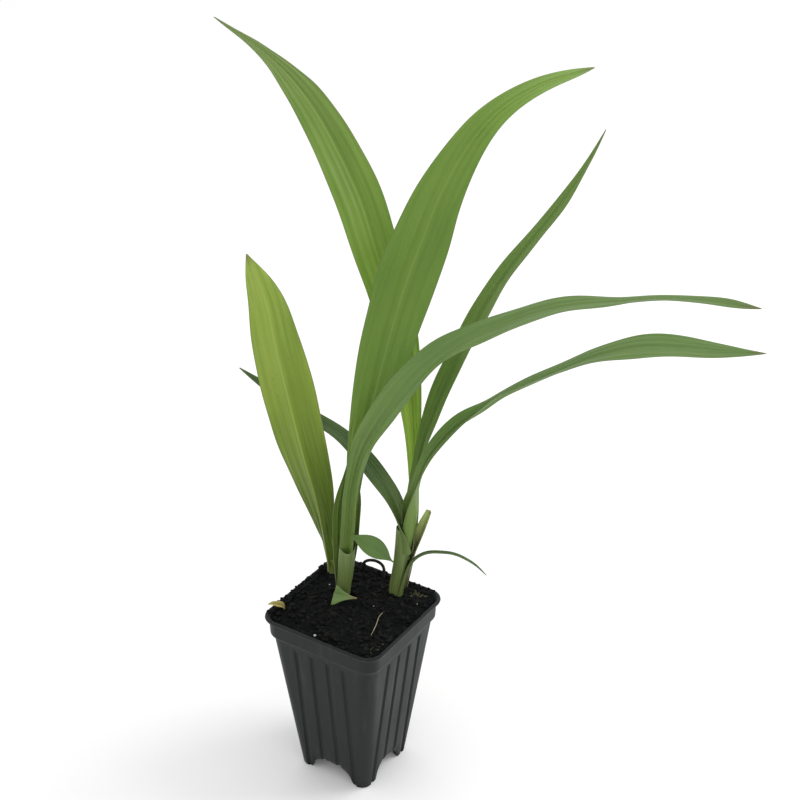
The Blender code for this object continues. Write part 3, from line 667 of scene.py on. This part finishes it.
PALE = (
    (-25.0, 17.4, 90.0, 1.9, -20, 20, 1.0), (-25.6, 16.3, 97.5, 2.1, -22, 20, 1.0),
    (-26.0, 15.8, 102.0, 2.5, -30, 28, 0.6), (-26.8, 15.0, 109.5, 3.9, -40, 32, 0.15),
    (-27.5, 13.3, 120.7, 6.6, -46, 30), (-28.5, 11.0, 132.7, 9.0, -48, 26),
    (-30.9, 5.4, 156.5, 11.6, -50, 20), (-32.9, 0.8, 179.0, 12.6, -50, 16),
    (-34.7, -3.4, 200.7, 12.6, -50, 14), (-36.3, -7.3, 221.5, 10.9, -50, 13),
    (-37.8, -10.7, 241.5, 8.2, -50, 12), (-39.1, -14.0, 251.7, 5.5, -50, 10),
    (-40.9, -18.2, 264.6, 0.3, -50, 0),
)
SCRAP = (
    (-1.2, 4.6, 90.9, 0.4, 20, 0), (-3.6, 2.6, 91.6, 0.9, 45, 10), (-5.6, 0.9, 92.5, 2.0, 70, 12),
    (-7.6, -0.8, 93.3, 3.6, 78, 12), (-9.4, -2.3, 94.0, 5.3, 82, 10), (-9.7, -2.5, 94.1, 5.0, 82, 8),
)
DRY = (
    (-26.2, -18.6, 88.8, 0.7, 0, 0), (-27.6, -19.0, 90.4, 1.7, 20, 30), (-29.4, -20.2, 91.2, 1.7, 40, 36),
    (-31.4, -21.4, 91.6, 1.0, 30, 30), (-33.0, -22.6, 91.2, 0.3, 10, 0),
)

LEAF_BROAD = leaf_material("leaf_broad_green", (0.155, 0.245, 0.026), (0.122, 0.22, 0.026),
                           (0.19, 0.305, 0.05), (0.22, 0.34, 0.06))
# Painted light: the tall blade's lower part is painted lighter, fading out towards its middle, to stand in
# for light shining through the blade where it sits in shade.
LEAF_TALL_PAINTED_GLOW = leaf_material("leaf_tall_green", (0.27, 0.42, 0.045), (0.15, 0.245, 0.034), (0.143, 0.212, 0.046),
                          (0.24, 0.36, 0.08), first=0.2)
LEAF_PALE = leaf_material("leaf_pale_green", (0.09, 0.145, 0.014), (0.22, 0.3, 0.028), (0.3, 0.4, 0.062),
                          (0.36, 0.46, 0.1), speck=0.8, streak=0.7, first=0.14)
LEAF_BLUISH = leaf_material("leaf_bluish_green", (0.14, 0.215, 0.044), (0.142, 0.238, 0.056),
                            (0.122, 0.2, 0.055), (0.19, 0.29, 0.1), speck=0.5)
LEAF_UPRIGHT = leaf_material("leaf_upright_green", (0.16, 0.25, 0.038), (0.135, 0.228, 0.04),
                             (0.14, 0.235, 0.045), (0.2, 0.3, 0.08), speck=0.6)
LEAF_DARK = leaf_material("leaf_dark_green", (0.14, 0.2, 0.055), (0.07, 0.125, 0.034), (0.068, 0.113, 0.034),
                          (0.1, 0.165, 0.05))
LEAF_SMALL = leaf_material("leaf_small_green", (0.1, 0.17, 0.033), (0.098, 0.178, 0.042),
                           (0.085, 0.15, 0.036), (0.13, 0.2, 0.06))
LEAF_SHEATH = leaf_material("leaf_sheath_green", (0.18, 0.25, 0.06), (0.17, 0.27, 0.05), (0.14, 0.22, 0.045),
                            (0.17, 0.24, 0.07))
LEAF_TORN = leaf_material("leaf_torn_green", (0.24, 0.18, 0.1), (0.2, 0.3, 0.1), (0.2, 0.31, 0.1),
                          (0.26, 0.36, 0.14), first=0.1)
LEAF_STUB = leaf_material("leaf_stub_green", (0.07, 0.05, 0.028), (0.2, 0.21, 0.075), (0.5, 0.57, 0.2),
                          (0.34, 0.4, 0.14), first=0.2)
LEAF_DRY = leaf_material("leaf_dry_straw", (0.2, 0.15, 0.05), (0.42, 0.32, 0.1), (0.5, 0.42, 0.16),
                         (0.6, 0.5, 0.28))
STEM_GREEN = stem_material("stem_green", (0.12, 0.155, 0.042), (0.125, 0.185, 0.045), (0.2, 0.26, 0.1),
                           (0.1, 0.11, 0.045))
STEM_LEFT = stem_material("stem_left_brown", (0.13, 0.125, 0.06), (0.2, 0.22, 0.07), (0.26, 0.24, 0.14),
                          (0.07, 0.055, 0.035))

# What the small blades share
SMALL = {"pleat": 0.1, "wave": 0.1, "columns": 25}

leaf("blade_broad", BROAD, LEAF_BROAD, "leaf_broad", "leaf_broad", heading=60.0, seed=2, pleat=0.42)
leaf("blade_arching_front", ARCHING_FRONT, LEAF_BLUISH, "leaf_bluish", "leaf_arching_front", heading=7.0,
     seed=3, soften=3.0)
leaf("wrapped_sheath_front", SHEATH_FRONT, LEAF_SHEATH, "leaf_green", "sheath_front", heading=114.0,
     seed=4, step=1.0, soften=1.5)
leaf("blade_oval", OVAL, LEAF_SMALL, "leaf_green", "leaf_oval", heading=30.0, seed=5, step=0.5, soften=0.6,
     thick=(0.5, 0.4), **SMALL)
leaf("blade_upright", UPRIGHT, LEAF_UPRIGHT, "leaf_green", "leaf_upright", heading=57.0, seed=6)
leaf("blade_arching_right", ARCHING_RIGHT, LEAF_BLUISH, "leaf_bluish", "leaf_arching_right", heading=22.0,
     seed=7, soften=3.0)
leaf("blade_left", LEFT, LEAF_DARK, "leaf_dark", "leaf_left", heading=192.0, seed=8, soften=2.5)
leaf("blade_tall", TALL, LEAF_TALL_PAINTED_GLOW, "leaf_pale", "leaf_tall", heading=147.0, seed=9, pleat=0.42)
leaf("blade_thin", THIN, LEAF_DARK, "leaf_dark", "leaf_thin", heading=17.0, seed=10, step=0.8, soften=1.5,
     thick=(0.9, 0.5), **SMALL)
leaf("cut_sheath", CUT, LEAF_STUB, "stem", "sheath_cut", heading=41.0, seed=11, step=0.8, soften=1.0, **SMALL)
leaf("blade_pale", PALE, LEAF_PALE, "leaf_pale", "leaf_pale", heading=247.0, seed=12, pleat=0.42)
leaf("torn_scrap", SCRAP, LEAF_TORN, "leaf_green", "leaf_scrap", heading=220.0, seed=13, step=0.4, soften=0.4,
     thick=(0.5, 0.4), **SMALL)
leaf("dry_curl", DRY, LEAF_DRY, "leaf_dry", "leaf_dry", heading=215.0, seed=14, step=0.3, soften=0.5,
     thick=(0.5, 0.4), pleat=0.3, wave=0.5, columns=25)

stem("stalk_front", ((-10.1, 6.1, 76.0, 3.1), (-10.0, 6.2, 91.0, 3.3), (-9.2, 6.7, 100.0, 3.6),
                     (-8.6, 7.2, 108.0, 3.9), (-8.3, 7.4, 114.0, 3.8)),
     STEM_GREEN, "stem_front", ridges=((0.62, 0.25), (0.93, 0.25)), low_side=304.0, lip=5.0)
stem("stalk_right", ((10.0, 21.0, 76.0, 3.4), (10.1, 21.1, 89.0, 3.45), (11.5, 22.0, 102.0, 3.35),
                     (12.7, 22.8, 113.0, 3.5), (13.1, 23.1, 118.0, 3.6)),
     STEM_GREEN, "stem_right", ridges=((0.55, 0.25), (0.9, 0.2)), low_side=34.0, lip=8.0)
stem("stalk_left", ((-24.8, 19.4, 81.0, 1.8), (-25.1, 19.0, 91.0, 2.1), (-25.5, 18.4, 97.0, 2.35)),
     STEM_LEFT, "stem_left", ridges=((0.5, 0.2), (0.9, 0.2)), lip=4.0)


# Pot

LIP_TOP = 90.0
FOOT_HALF = 19.4
FOOT_RADIUS = 5.2
SHOULDER_HALF = 28.7
SHOULDER_RADIUS = 7.0
SHOULDER_HEIGHT = 78.6
WALL = 1.3
GROOVES = (-13.2, -4.4, 4.4, 13.2)
GROOVE_WIDTH = 2.2
GROOVE_DEPTH = 0.75
GROOVE_REACH = 1.25
GROOVE_SOFTNESS = 0.6
GROOVE_PARTS = (0.3, 0.65, 0.8, 0.95, 1.1, 1.25)
FLAT_PLACES = (1.5, 2.9, 5.7, 7.3, 8.8, 10.3, 11.9, 15.4, 17.6)
LEAST_SPACE = 0.004
ARCH_HEIGHT = 8.0
ARCH_SPANS = (12.2, 9.8)
CORNER_STEPS = 14
DRAIN_HOLES = ((0, 0), (11, 0), (-11, 0), (0, 11), (0, -11))
DRAIN_RADIUS = 2.6
DRAIN_LOW, DRAIN_HIGH = 8.0, 13.0
DRAIN_SIDES = 32

# Half width, corner radius and height of the floor's underside
UNDERSIDE_RING = (17.2, 4.4, 9.6)

# The same of the skirt, and how full its grooves are, from inside to outside
SKIRT_RINGS = (
    (17.0, 4.0, 0.35, 0.0), (17.4, 4.0, 0.0, 0.0), (19.0, 5.0, 0.0, 1.0), (FOOT_HALF, FOOT_RADIUS, 0.4, 1.0),
)

# Height, and how full the grooves are, from the skirt up to where they end
WALL_RINGS = (
    (11.0, 1.0), (25.0, 1.0), (40.0, 1.0), (55.0, 1.0), (68.0, 1.0), (73.4, 1.0),
    (74.2, 0.96), (74.9, 0.8), (75.5, 0.5), (76.1, 0.2), (76.6, 0.0),
)

# Height and corner radius inside the pot, under the lip and at the floor
INNER_RINGS = ((76.8, 6.2), (11.2, 4.6))

# Half width, corner radius and height, from the shoulder up over the lip and down inside it
LIP_RINGS = (
    (28.62, 7.0, 78.0), (28.75, 7.0, 78.5), (29.2, 7.1, 79.1), (29.9, 7.4, 79.8), (30.12, 7.5, 80.3),
    (30.2, 7.5, 81.0), (30.38, 7.5, 86.8), (30.5, 7.55, 87.5), (31.3, 7.9, 87.95), (31.8, 8.0, 88.4),
    (31.98, 8.0, 89.0), (31.9, 8.0, 89.5), (31.65, 7.8, 89.85), (31.2, 7.5, 90.0), (30.7, 7.2, 89.9),
    (30.2, 7.0, 89.4), (29.6, 6.8, 88.4), (29.2, 6.7, 87.0), (28.85, 6.7, 80.3),
)


def pot_half(z):
    return FOOT_HALF + (SHOULDER_HALF - FOOT_HALF) * z / SHOULDER_HEIGHT


def pot_radius(z):
    return FOOT_RADIUS + (SHOULDER_RADIUS - FOOT_RADIUS) * z / SHOULDER_HEIGHT


def groove_profile(place, fullness):
    """How far the wall is pressed in, which fades out at the edges of a groove."""
    middle = min(GROOVES, key=lambda g: abs(g - place))
    off = abs(place - middle) / (GROOVE_WIDTH / 2)
    if off >= GROOVE_REACH:
        return 0.0
    t = min(1.0, max(0.0, (GROOVE_REACH - off) / GROOVE_SOFTNESS))
    return GROOVE_DEPTH * fullness * t * t * (3 - 2 * t)


def arch(place, span):
    """How high the skirt is cut away between two feet."""
    across = min(abs(place) / span, 1.0)
    return ARCH_HEIGHT * (1.0 - across**3) ** 0.6


def side_places(half, radius):
    """Places along one side, crowded at the grooves. Those past the corner's start are drawn in to it."""
    places = [0.0]
    for side in (-1, 1):
        places += [side * place for place in FLAT_PLACES]
        for middle in GROOVES:
            places += [middle + side * part * GROOVE_WIDTH / 2 for part in GROOVE_PARTS]
    places = sorted(set(places))
    end = half - radius
    low_count = sum(p < -end for p in places)
    high_count = sum(p > end for p in places)
    inner = places[low_count:len(places) - high_count]
    low = [-end + LEAST_SPACE * (1 + k) for k in range(low_count)]
    high = [end - LEAST_SPACE * (high_count - k) for k in range(high_count)]
    return low + inner + high


def pot_ring(half, radius, height, groove=0.0, arched=False):
    ring = []
    for turn in range(4):
        angle = turn * math.pi / 2
        ca, sa = math.cos(angle), math.sin(angle)
        points = []
        for place in side_places(half, radius):
            lift = arch(place, ARCH_SPANS[turn % 2]) if arched else 0.0
            points.append((place, -half + groove_profile(place, groove), lift))
        for step in range(CORNER_STEPS + 1):
            bend = -math.pi / 2 + step * math.pi / 2 / CORNER_STEPS
            x = half - radius + radius * math.cos(bend)
            points.append((x, -half + radius + radius * math.sin(bend), 0.0))
        ring += [(x * ca - y * sa, x * sa + y * ca, height + lift) for x, y, lift in points]
    return ring


def build_pot(material):
    rings = [pot_ring(*UNDERSIDE_RING)]
    rings += [pot_ring(*row, arched=True) for row in SKIRT_RINGS]
    rings += [pot_ring(pot_half(z), pot_radius(z), z, groove=fullness) for z, fullness in WALL_RINGS]
    rings += [pot_ring(*row) for row in LIP_RINGS]
    rings += [pot_ring(pot_half(z) - WALL, radius, z) for z, radius in INNER_RINGS]
    points = [p for ring in rings for p in ring]
    piece = finish_mesh("pot_moulded", points, tube_faces(len(rings), len(rings[0])), material, smooth=35)
    for centre in DRAIN_HOLES:
        cut_hole(piece, centre)
    place_piece(piece, "pot")


def cut_hole(target, centre):
    angle = np.linspace(0, 2 * math.pi, DRAIN_SIDES, endpoint=False)
    x = centre[0] + DRAIN_RADIUS * np.cos(angle)
    y = centre[1] + DRAIN_RADIUS * np.sin(angle)
    ring = np.c_[x, y, np.zeros(DRAIN_SIDES)]
    points = np.concatenate([ring + (0, 0, DRAIN_LOW), ring + (0, 0, DRAIN_HIGH)])
    tool = finish_mesh("hole_tool", points, tube_faces(2, DRAIN_SIDES), target.data.materials[0])
    change = target.modifiers.new("hole", "BOOLEAN")
    change.object = tool
    change.operation = "DIFFERENCE"
    change.solver = "EXACT"
    bpy.context.view_layer.update()
    result = bpy.data.meshes.new_from_object(target.evaluated_get(bpy.context.evaluated_depsgraph_get()))
    target.modifiers.clear()
    target.data = result
    bpy.data.objects.remove(tool, do_unlink=True)


build_pot(plastic_material())


# Soil

SOIL_HALF = 29.2
SOIL_CORNER = 6.4
SOIL_LEVEL = 88.2
SOIL_CEILING = 90.6
MOUND_HEIGHT = 0.9
MOUND_REACH = 800.0
EDGE_DROP = 0.3
GRID = 190
NOISE_CELLS = 96
NOISE_SHIFT = 40.0

# Height, size and seed of the soil's lumps, and of the grains that only stand up from it
LUMPS = ((0.75, 6.0, 1), (0.65, 2.6, 2))
GRAINS = ((0.35, 1.3, 3), (0.2, 0.7, 4))

# Height and half width of the soil's sides, down inside the pot
SOIL_SIDES = ((80.5, 28.3), (76.4, 26.7), (11.6, 18.9))


def value_noise(x, y, size, seed):
    """Smooth noise from -1 to 1, with lumps of the given size in millimetres."""
    table = np.random.default_rng(seed).uniform(-1, 1, (NOISE_CELLS, NOISE_CELLS))
    u = x / size + NOISE_SHIFT
    v = y / size + NOISE_SHIFT
    i = np.floor(u).astype(int)
    j = np.floor(v).astype(int)
    fu = u - i
    fv = v - j
    fu = fu * fu * (3 - 2 * fu)
    fv = fv * fv * (3 - 2 * fv)
    a = table[i % NOISE_CELLS, j % NOISE_CELLS]
    b = table[(i + 1) % NOISE_CELLS, j % NOISE_CELLS]
    c = table[i % NOISE_CELLS, (j + 1) % NOISE_CELLS]
    d = table[(i + 1) % NOISE_CELLS, (j + 1) % NOISE_CELLS]
    return (a * (1 - fu) + b * fu) * (1 - fv) + (c * (1 - fu) + d * fu) * fv


def soil_top(x, y):
    x = np.asarray(x, float)
    y = np.asarray(y, float)
    height = SOIL_LEVEL + MOUND_HEIGHT * np.maximum(0, 1 - (x * x + y * y) / MOUND_REACH)
    for rise, size, seed in LUMPS:
        height = height + rise * value_noise(x, y, size, seed)
    for rise, size, seed in GRAINS:
        height = height + rise * np.abs(value_noise(x, y, size, seed))
    edge = np.maximum(np.abs(x), np.abs(y)) / SOIL_HALF
    height = height - EDGE_DROP * np.clip((edge - 0.9) / 0.1, 0, 1) ** 2
    return np.minimum(height, SOIL_CEILING)


def rounded_square(gx, gy, radius):
    """Points of a unit square's grid, moved so that the square's corners are rounded."""
    big = np.maximum(np.abs(gx), np.abs(gy))
    small = np.minimum(np.abs(gx), np.abs(gy))
    with np.errstate(divide="ignore", invalid="ignore"):
        t = np.where(big > 0, small / big, 0)
    start = 1 - radius
    turn = np.clip((t - start) / radius, 0, 1) * math.pi / 4
    far = np.where(t > start, 1 - radius + radius * np.cos(turn), 1.0)
    near = np.where(t > start, 1 - radius + radius * np.sin(turn), t)
    x_leads = np.abs(gx) >= np.abs(gy)
    x = np.where(x_leads, far, near) * big * np.sign(gx)
    y = np.where(x_leads, near, far) * big * np.sign(gy)
    return x, y


def build_soil(material):
    line = np.linspace(-1, 1, GRID)
    x, y = rounded_square(*np.meshgrid(line, line, indexing="ij"), SOIL_CORNER / SOIL_HALF)
    x, y = x * SOIL_HALF, y * SOIL_HALF
    points = np.c_[x.ravel(), y.ravel(), soil_top(x, y).ravel()]
    last = GRID - 1
    faces = []
    for i in range(last):
        for j in range(last):
            a = i * GRID + j
            faces.append((a, a + GRID, a + GRID + 1, a + 1))
    rim = list(range(last)) + [i * GRID + last for i in range(last)]
    rim += [last * GRID + j for j in range(last, 0, -1)] + [i * GRID for i in range(last, 0, -1)]
    sides = []
    previous = rim
    for level, half in SOIL_SIDES:
        share = half / SOIL_HALF
        start = len(points) + len(sides)
        sides += [(points[k][0] * share, points[k][1] * share, level) for k in rim]
        current = list(range(start, start + len(rim)))
        for k in range(len(rim)):
            n = (k + 1) % len(rim)
            faces.append((previous[k], previous[n], current[n], current[k]))
        previous = current
    faces.append(tuple(previous))
    points = np.concatenate([points, np.array(sides)])
    piece = finish_mesh("soil_mix", points, faces, material, smooth=60)
    place_piece(piece, "soil")


SCATTER_HALF = 27.8
CENTRE_RISE = 0.25
FIBRE_ROWS = 40
FIBRE_SOFTENING = 0.3

# Crumbs on the lip's two far sides: range in x, range in y, number and sizes
LIP_LEFT = (-31.2, -28.8), (-27.0, 27.0), 95, (0.3, 0.95)
LIP_BACK = (-27.0, 27.0), (28.8, 31.2), 70, (0.3, 0.9)

# Two patches of moss: middle and spread in x, then in y, number of tufts and their sizes
MOSS_BACK = (19.0, 1.7), (26.0, 1.2), 34, (0.4, 0.9)
MOSS_RIGHT = (27.0, 1.6), (-20.0, 2.6), 18, (0.3, 0.7)


def pebble(centre, size, draw, flat):
    """A small rough lump: an icosahedron's faces divided once, its points moved in and out."""
    shape = bmesh.new()
    bmesh.ops.create_icosphere(shape, subdivisions=2, radius=1.0)
    turn = Matrix.Rotation(draw.uniform(0, 6.3), 3, "Z") @ Matrix.Rotation(draw.uniform(-0.6, 0.6), 3, "X")
    stretch = np.array([draw.uniform(0.7, 1.3), draw.uniform(0.7, 1.3), flat * draw.uniform(0.7, 1.2)])
    points = []
    for v in shape.verts:
        p = np.array(v.co) * stretch * size * (1 + draw.uniform(-0.16, 0.16))
        p = turn @ Vector(p)
        points.append((centre[0] + p.x, centre[1] + p.y, centre[2] + p.z))
    faces = [tuple(v.index for v in f.verts) for f in shape.faces]
    shape.free()
    return points, faces


def random_spots(draw, count, sizes):
    """One spot after another, each drawn when it is asked for."""
    for _ in range(count):
        x, y = draw.uniform(-SCATTER_HALF, SCATTER_HALF, 2)
        yield x, y, draw.uniform(*sizes)


def scatter(name, spots, material, draw, flat=0.7, height=None):
    """A lump at each spot, its centre a little above the soil, or above a surface at the given height."""
    points, faces = [], []
    for x, y, size in spots:
        ground = float(soil_top(x, y)) if height is None else height
        some, sides = pebble((x, y, ground + size * flat * CENTRE_RISE), size, draw, flat)
        faces += [tuple(i + len(points) for i in f) for f in sides]
        points += some
    piece = finish_mesh(name, points, faces, material, smooth=50, recalc=False)
    place_piece(piece, "soil")


def scatter_anywhere(name, material, count, sizes, seed, flat=0.7):
    draw = np.random.default_rng(seed)
    scatter(name, random_spots(draw, count, sizes), material, draw, flat)


def fibre(name, path, material, radius, sides):
    """A round strand along a few points."""
    rows, _ = smooth_rows([(*p, radius) for p in path], FIBRE_ROWS, FIBRE_SOFTENING)
    tangent = np.gradient(rows[:, :3], axis=0)
    points = []
    for row, t in zip(rows, tangent):
        forward = Vector(t).normalized()
        first = forward.cross(Vector((0.3, 0.2, 1.0))).normalized()
        second = forward.cross(first)
        for k in range(sides):
            a = 2 * math.pi * k / sides
            points.append(tuple(Vector(row[:3]) + (first * math.cos(a) + second * math.sin(a)) * row[3]))
    piece = finish_mesh(name, points, tube_faces(len(rows), sides), material, smooth=60)
    place_piece(piece, "soil")


def lip_spots():
    """Crumbs on the lip's two far sides: x, y and size."""
    draw = np.random.default_rng(31)
    spots = []
    for x_range, y_range, count, sizes in (LIP_LEFT, LIP_BACK):
        for _ in range(count):
            spots.append((draw.uniform(*x_range), draw.uniform(*y_range), draw.uniform(*sizes)))
    return spots


def moss_spots():
    """Tufts of moss near the soil's back edge, then near its right edge: x, y and size."""
    draw = np.random.default_rng(32)
    spots = []
    for patch in (MOSS_BACK, MOSS_RIGHT):
        (x, x_spread), (y, y_spread), count, sizes = patch
        for _ in range(count):
            aside = draw.normal(0, x_spread)
            if patch is MOSS_RIGHT:
                aside = -abs(aside)
            spots.append((x + aside, y + draw.normal(0, y_spread), draw.uniform(*sizes)))
    return spots


PERLITE_SPOTS = (
    (-3.1, -27.0, 0.7), (25.5, -27.0, 0.5), (23.0, 19.0, 0.5), (-20.0, 9.0, 0.35), (8.0, 5.0, 0.3),
)
ROOT_PATH = (
    (-0.9, 27.5, 86.0), (-2.0, 29.6, 90.8), (-4.0, 31.4, 92.8), (-9.0, 32.0, 93.8), (-13.3, 30.6, 92.8),
    (-15.5, 27.5, 87.0),
)
FIBRE_PATH = ((18.6, -13.3, 88.6), (17.8, -8.0, 90.6), (15.6, -2.0, 90.9), (13.9, 5.0, 89.2))

build_soil(soil_material())
PERLITE = speck_material("perlite_white", (0.42, 0.42, 0.4), (0.75, 0.75, 0.72))
BARK = speck_material("bark_brown", (0.004, 0.0036, 0.003), (0.017, 0.015, 0.012))
CRUMB = speck_material("soil_crumb", (0.0014, 0.0017, 0.0016), (0.0075, 0.0082, 0.0075))
MOSS = speck_material("moss_olive", (0.03, 0.032, 0.015), (0.09, 0.09, 0.05))
FIBRE = speck_material("fibre_pale", (0.3, 0.26, 0.16), (0.5, 0.45, 0.32))
ROOT = speck_material("root_black", (0.006, 0.005, 0.004), (0.03, 0.025, 0.02))

scatter_anywhere("soil_crumbs", CRUMB, count=480, sizes=(0.4, 1.3), seed=21)
scatter_anywhere("soil_bark", BARK, count=50, sizes=(0.6, 1.5), seed=22, flat=0.45)
scatter("soil_moss", moss_spots(), MOSS, np.random.default_rng(23), flat=0.5)
scatter("soil_perlite", PERLITE_SPOTS, PERLITE, np.random.default_rng(24))
scatter("lip_crumbs", lip_spots(), CRUMB, np.random.default_rng(25), height=LIP_TOP)
fibre("soil_root", ROOT_PATH, ROOT, radius=0.75, sides=12)
fibre("soil_fibre", FIBRE_PATH, FIBRE, radius=0.14, sides=6)


# Camera, floor and light

def set_camera():
    data = bpy.data.cameras.new("camera")
    data.lens = CAMERA_LENS
    data.sensor_width = CAMERA_SENSOR
    data.sensor_fit = "HORIZONTAL"
    data.clip_start = 0.01
    data.clip_end = 20.0
    camera = bpy.data.objects.new("camera", data)
    bpy.context.scene.collection.objects.link(camera)
    turn = (
        Matrix.Rotation(math.radians(CAMERA_TURN), 4, "Z")
        @ Matrix.Rotation(math.radians(90.0 - CAMERA_DOWN), 4, "X")
        @ Matrix.Rotation(math.radians(CAMERA_ROLL), 4, "Z")
    )
    at = Vector(to_world([CAMERA_AT])[0])
    camera.matrix_world = Matrix.Translation(at) @ turn
    bpy.context.scene.camera = camera


def set_floor():
    made, _, shader = nodes_of("floor_white", FLOOR_ROUGHNESS, specular=0.0)
    shader.inputs["Base Color"].default_value = FLOOR_GREY
    mesh = bpy.data.meshes.new("floor")
    corners = [(x * FLOOR_HALF, y * FLOOR_HALF, 0) for x, y in ((-1, -1), (1, -1), (1, 1), (-1, 1))]
    mesh.from_pydata(corners, [], [(0, 1, 2, 3)])
    mesh.materials.append(made)
    floor = bpy.data.objects.new("floor", mesh)
    bpy.context.scene.collection.objects.link(floor)


def set_light():
    """A white sky, and one large soft lamp high on the camera's right."""
    world = bpy.data.worlds.new("world")
    world.use_nodes = True
    sky = world.node_tree.nodes["Background"]
    sky.inputs["Color"].default_value = WHITE
    sky.inputs["Strength"].default_value = SKY_STRENGTH
    bpy.context.scene.world = world
    right = Vector((math.cos(math.radians(KEY_TURN)), math.sin(math.radians(KEY_TURN)), 0))
    away = Vector((-right.y, right.x, 0))
    at = right * KEY_RIGHT + away * KEY_AWAY + Vector((0, 0, KEY_UP))
    data = bpy.data.lights.new("key", "AREA")
    data.shape = "SQUARE"
    data.size = KEY_SIZE
    data.energy = KEY_POWER
    light = bpy.data.objects.new("key", data)
    bpy.context.scene.collection.objects.link(light)
    light.location = at
    light.rotation_euler = (Vector(KEY_TARGET) - at).to_track_quat("-Z", "Y").to_euler()


set_camera()
set_floor()
set_light()
bpy.context.scene.view_settings.view_transform = "Standard"
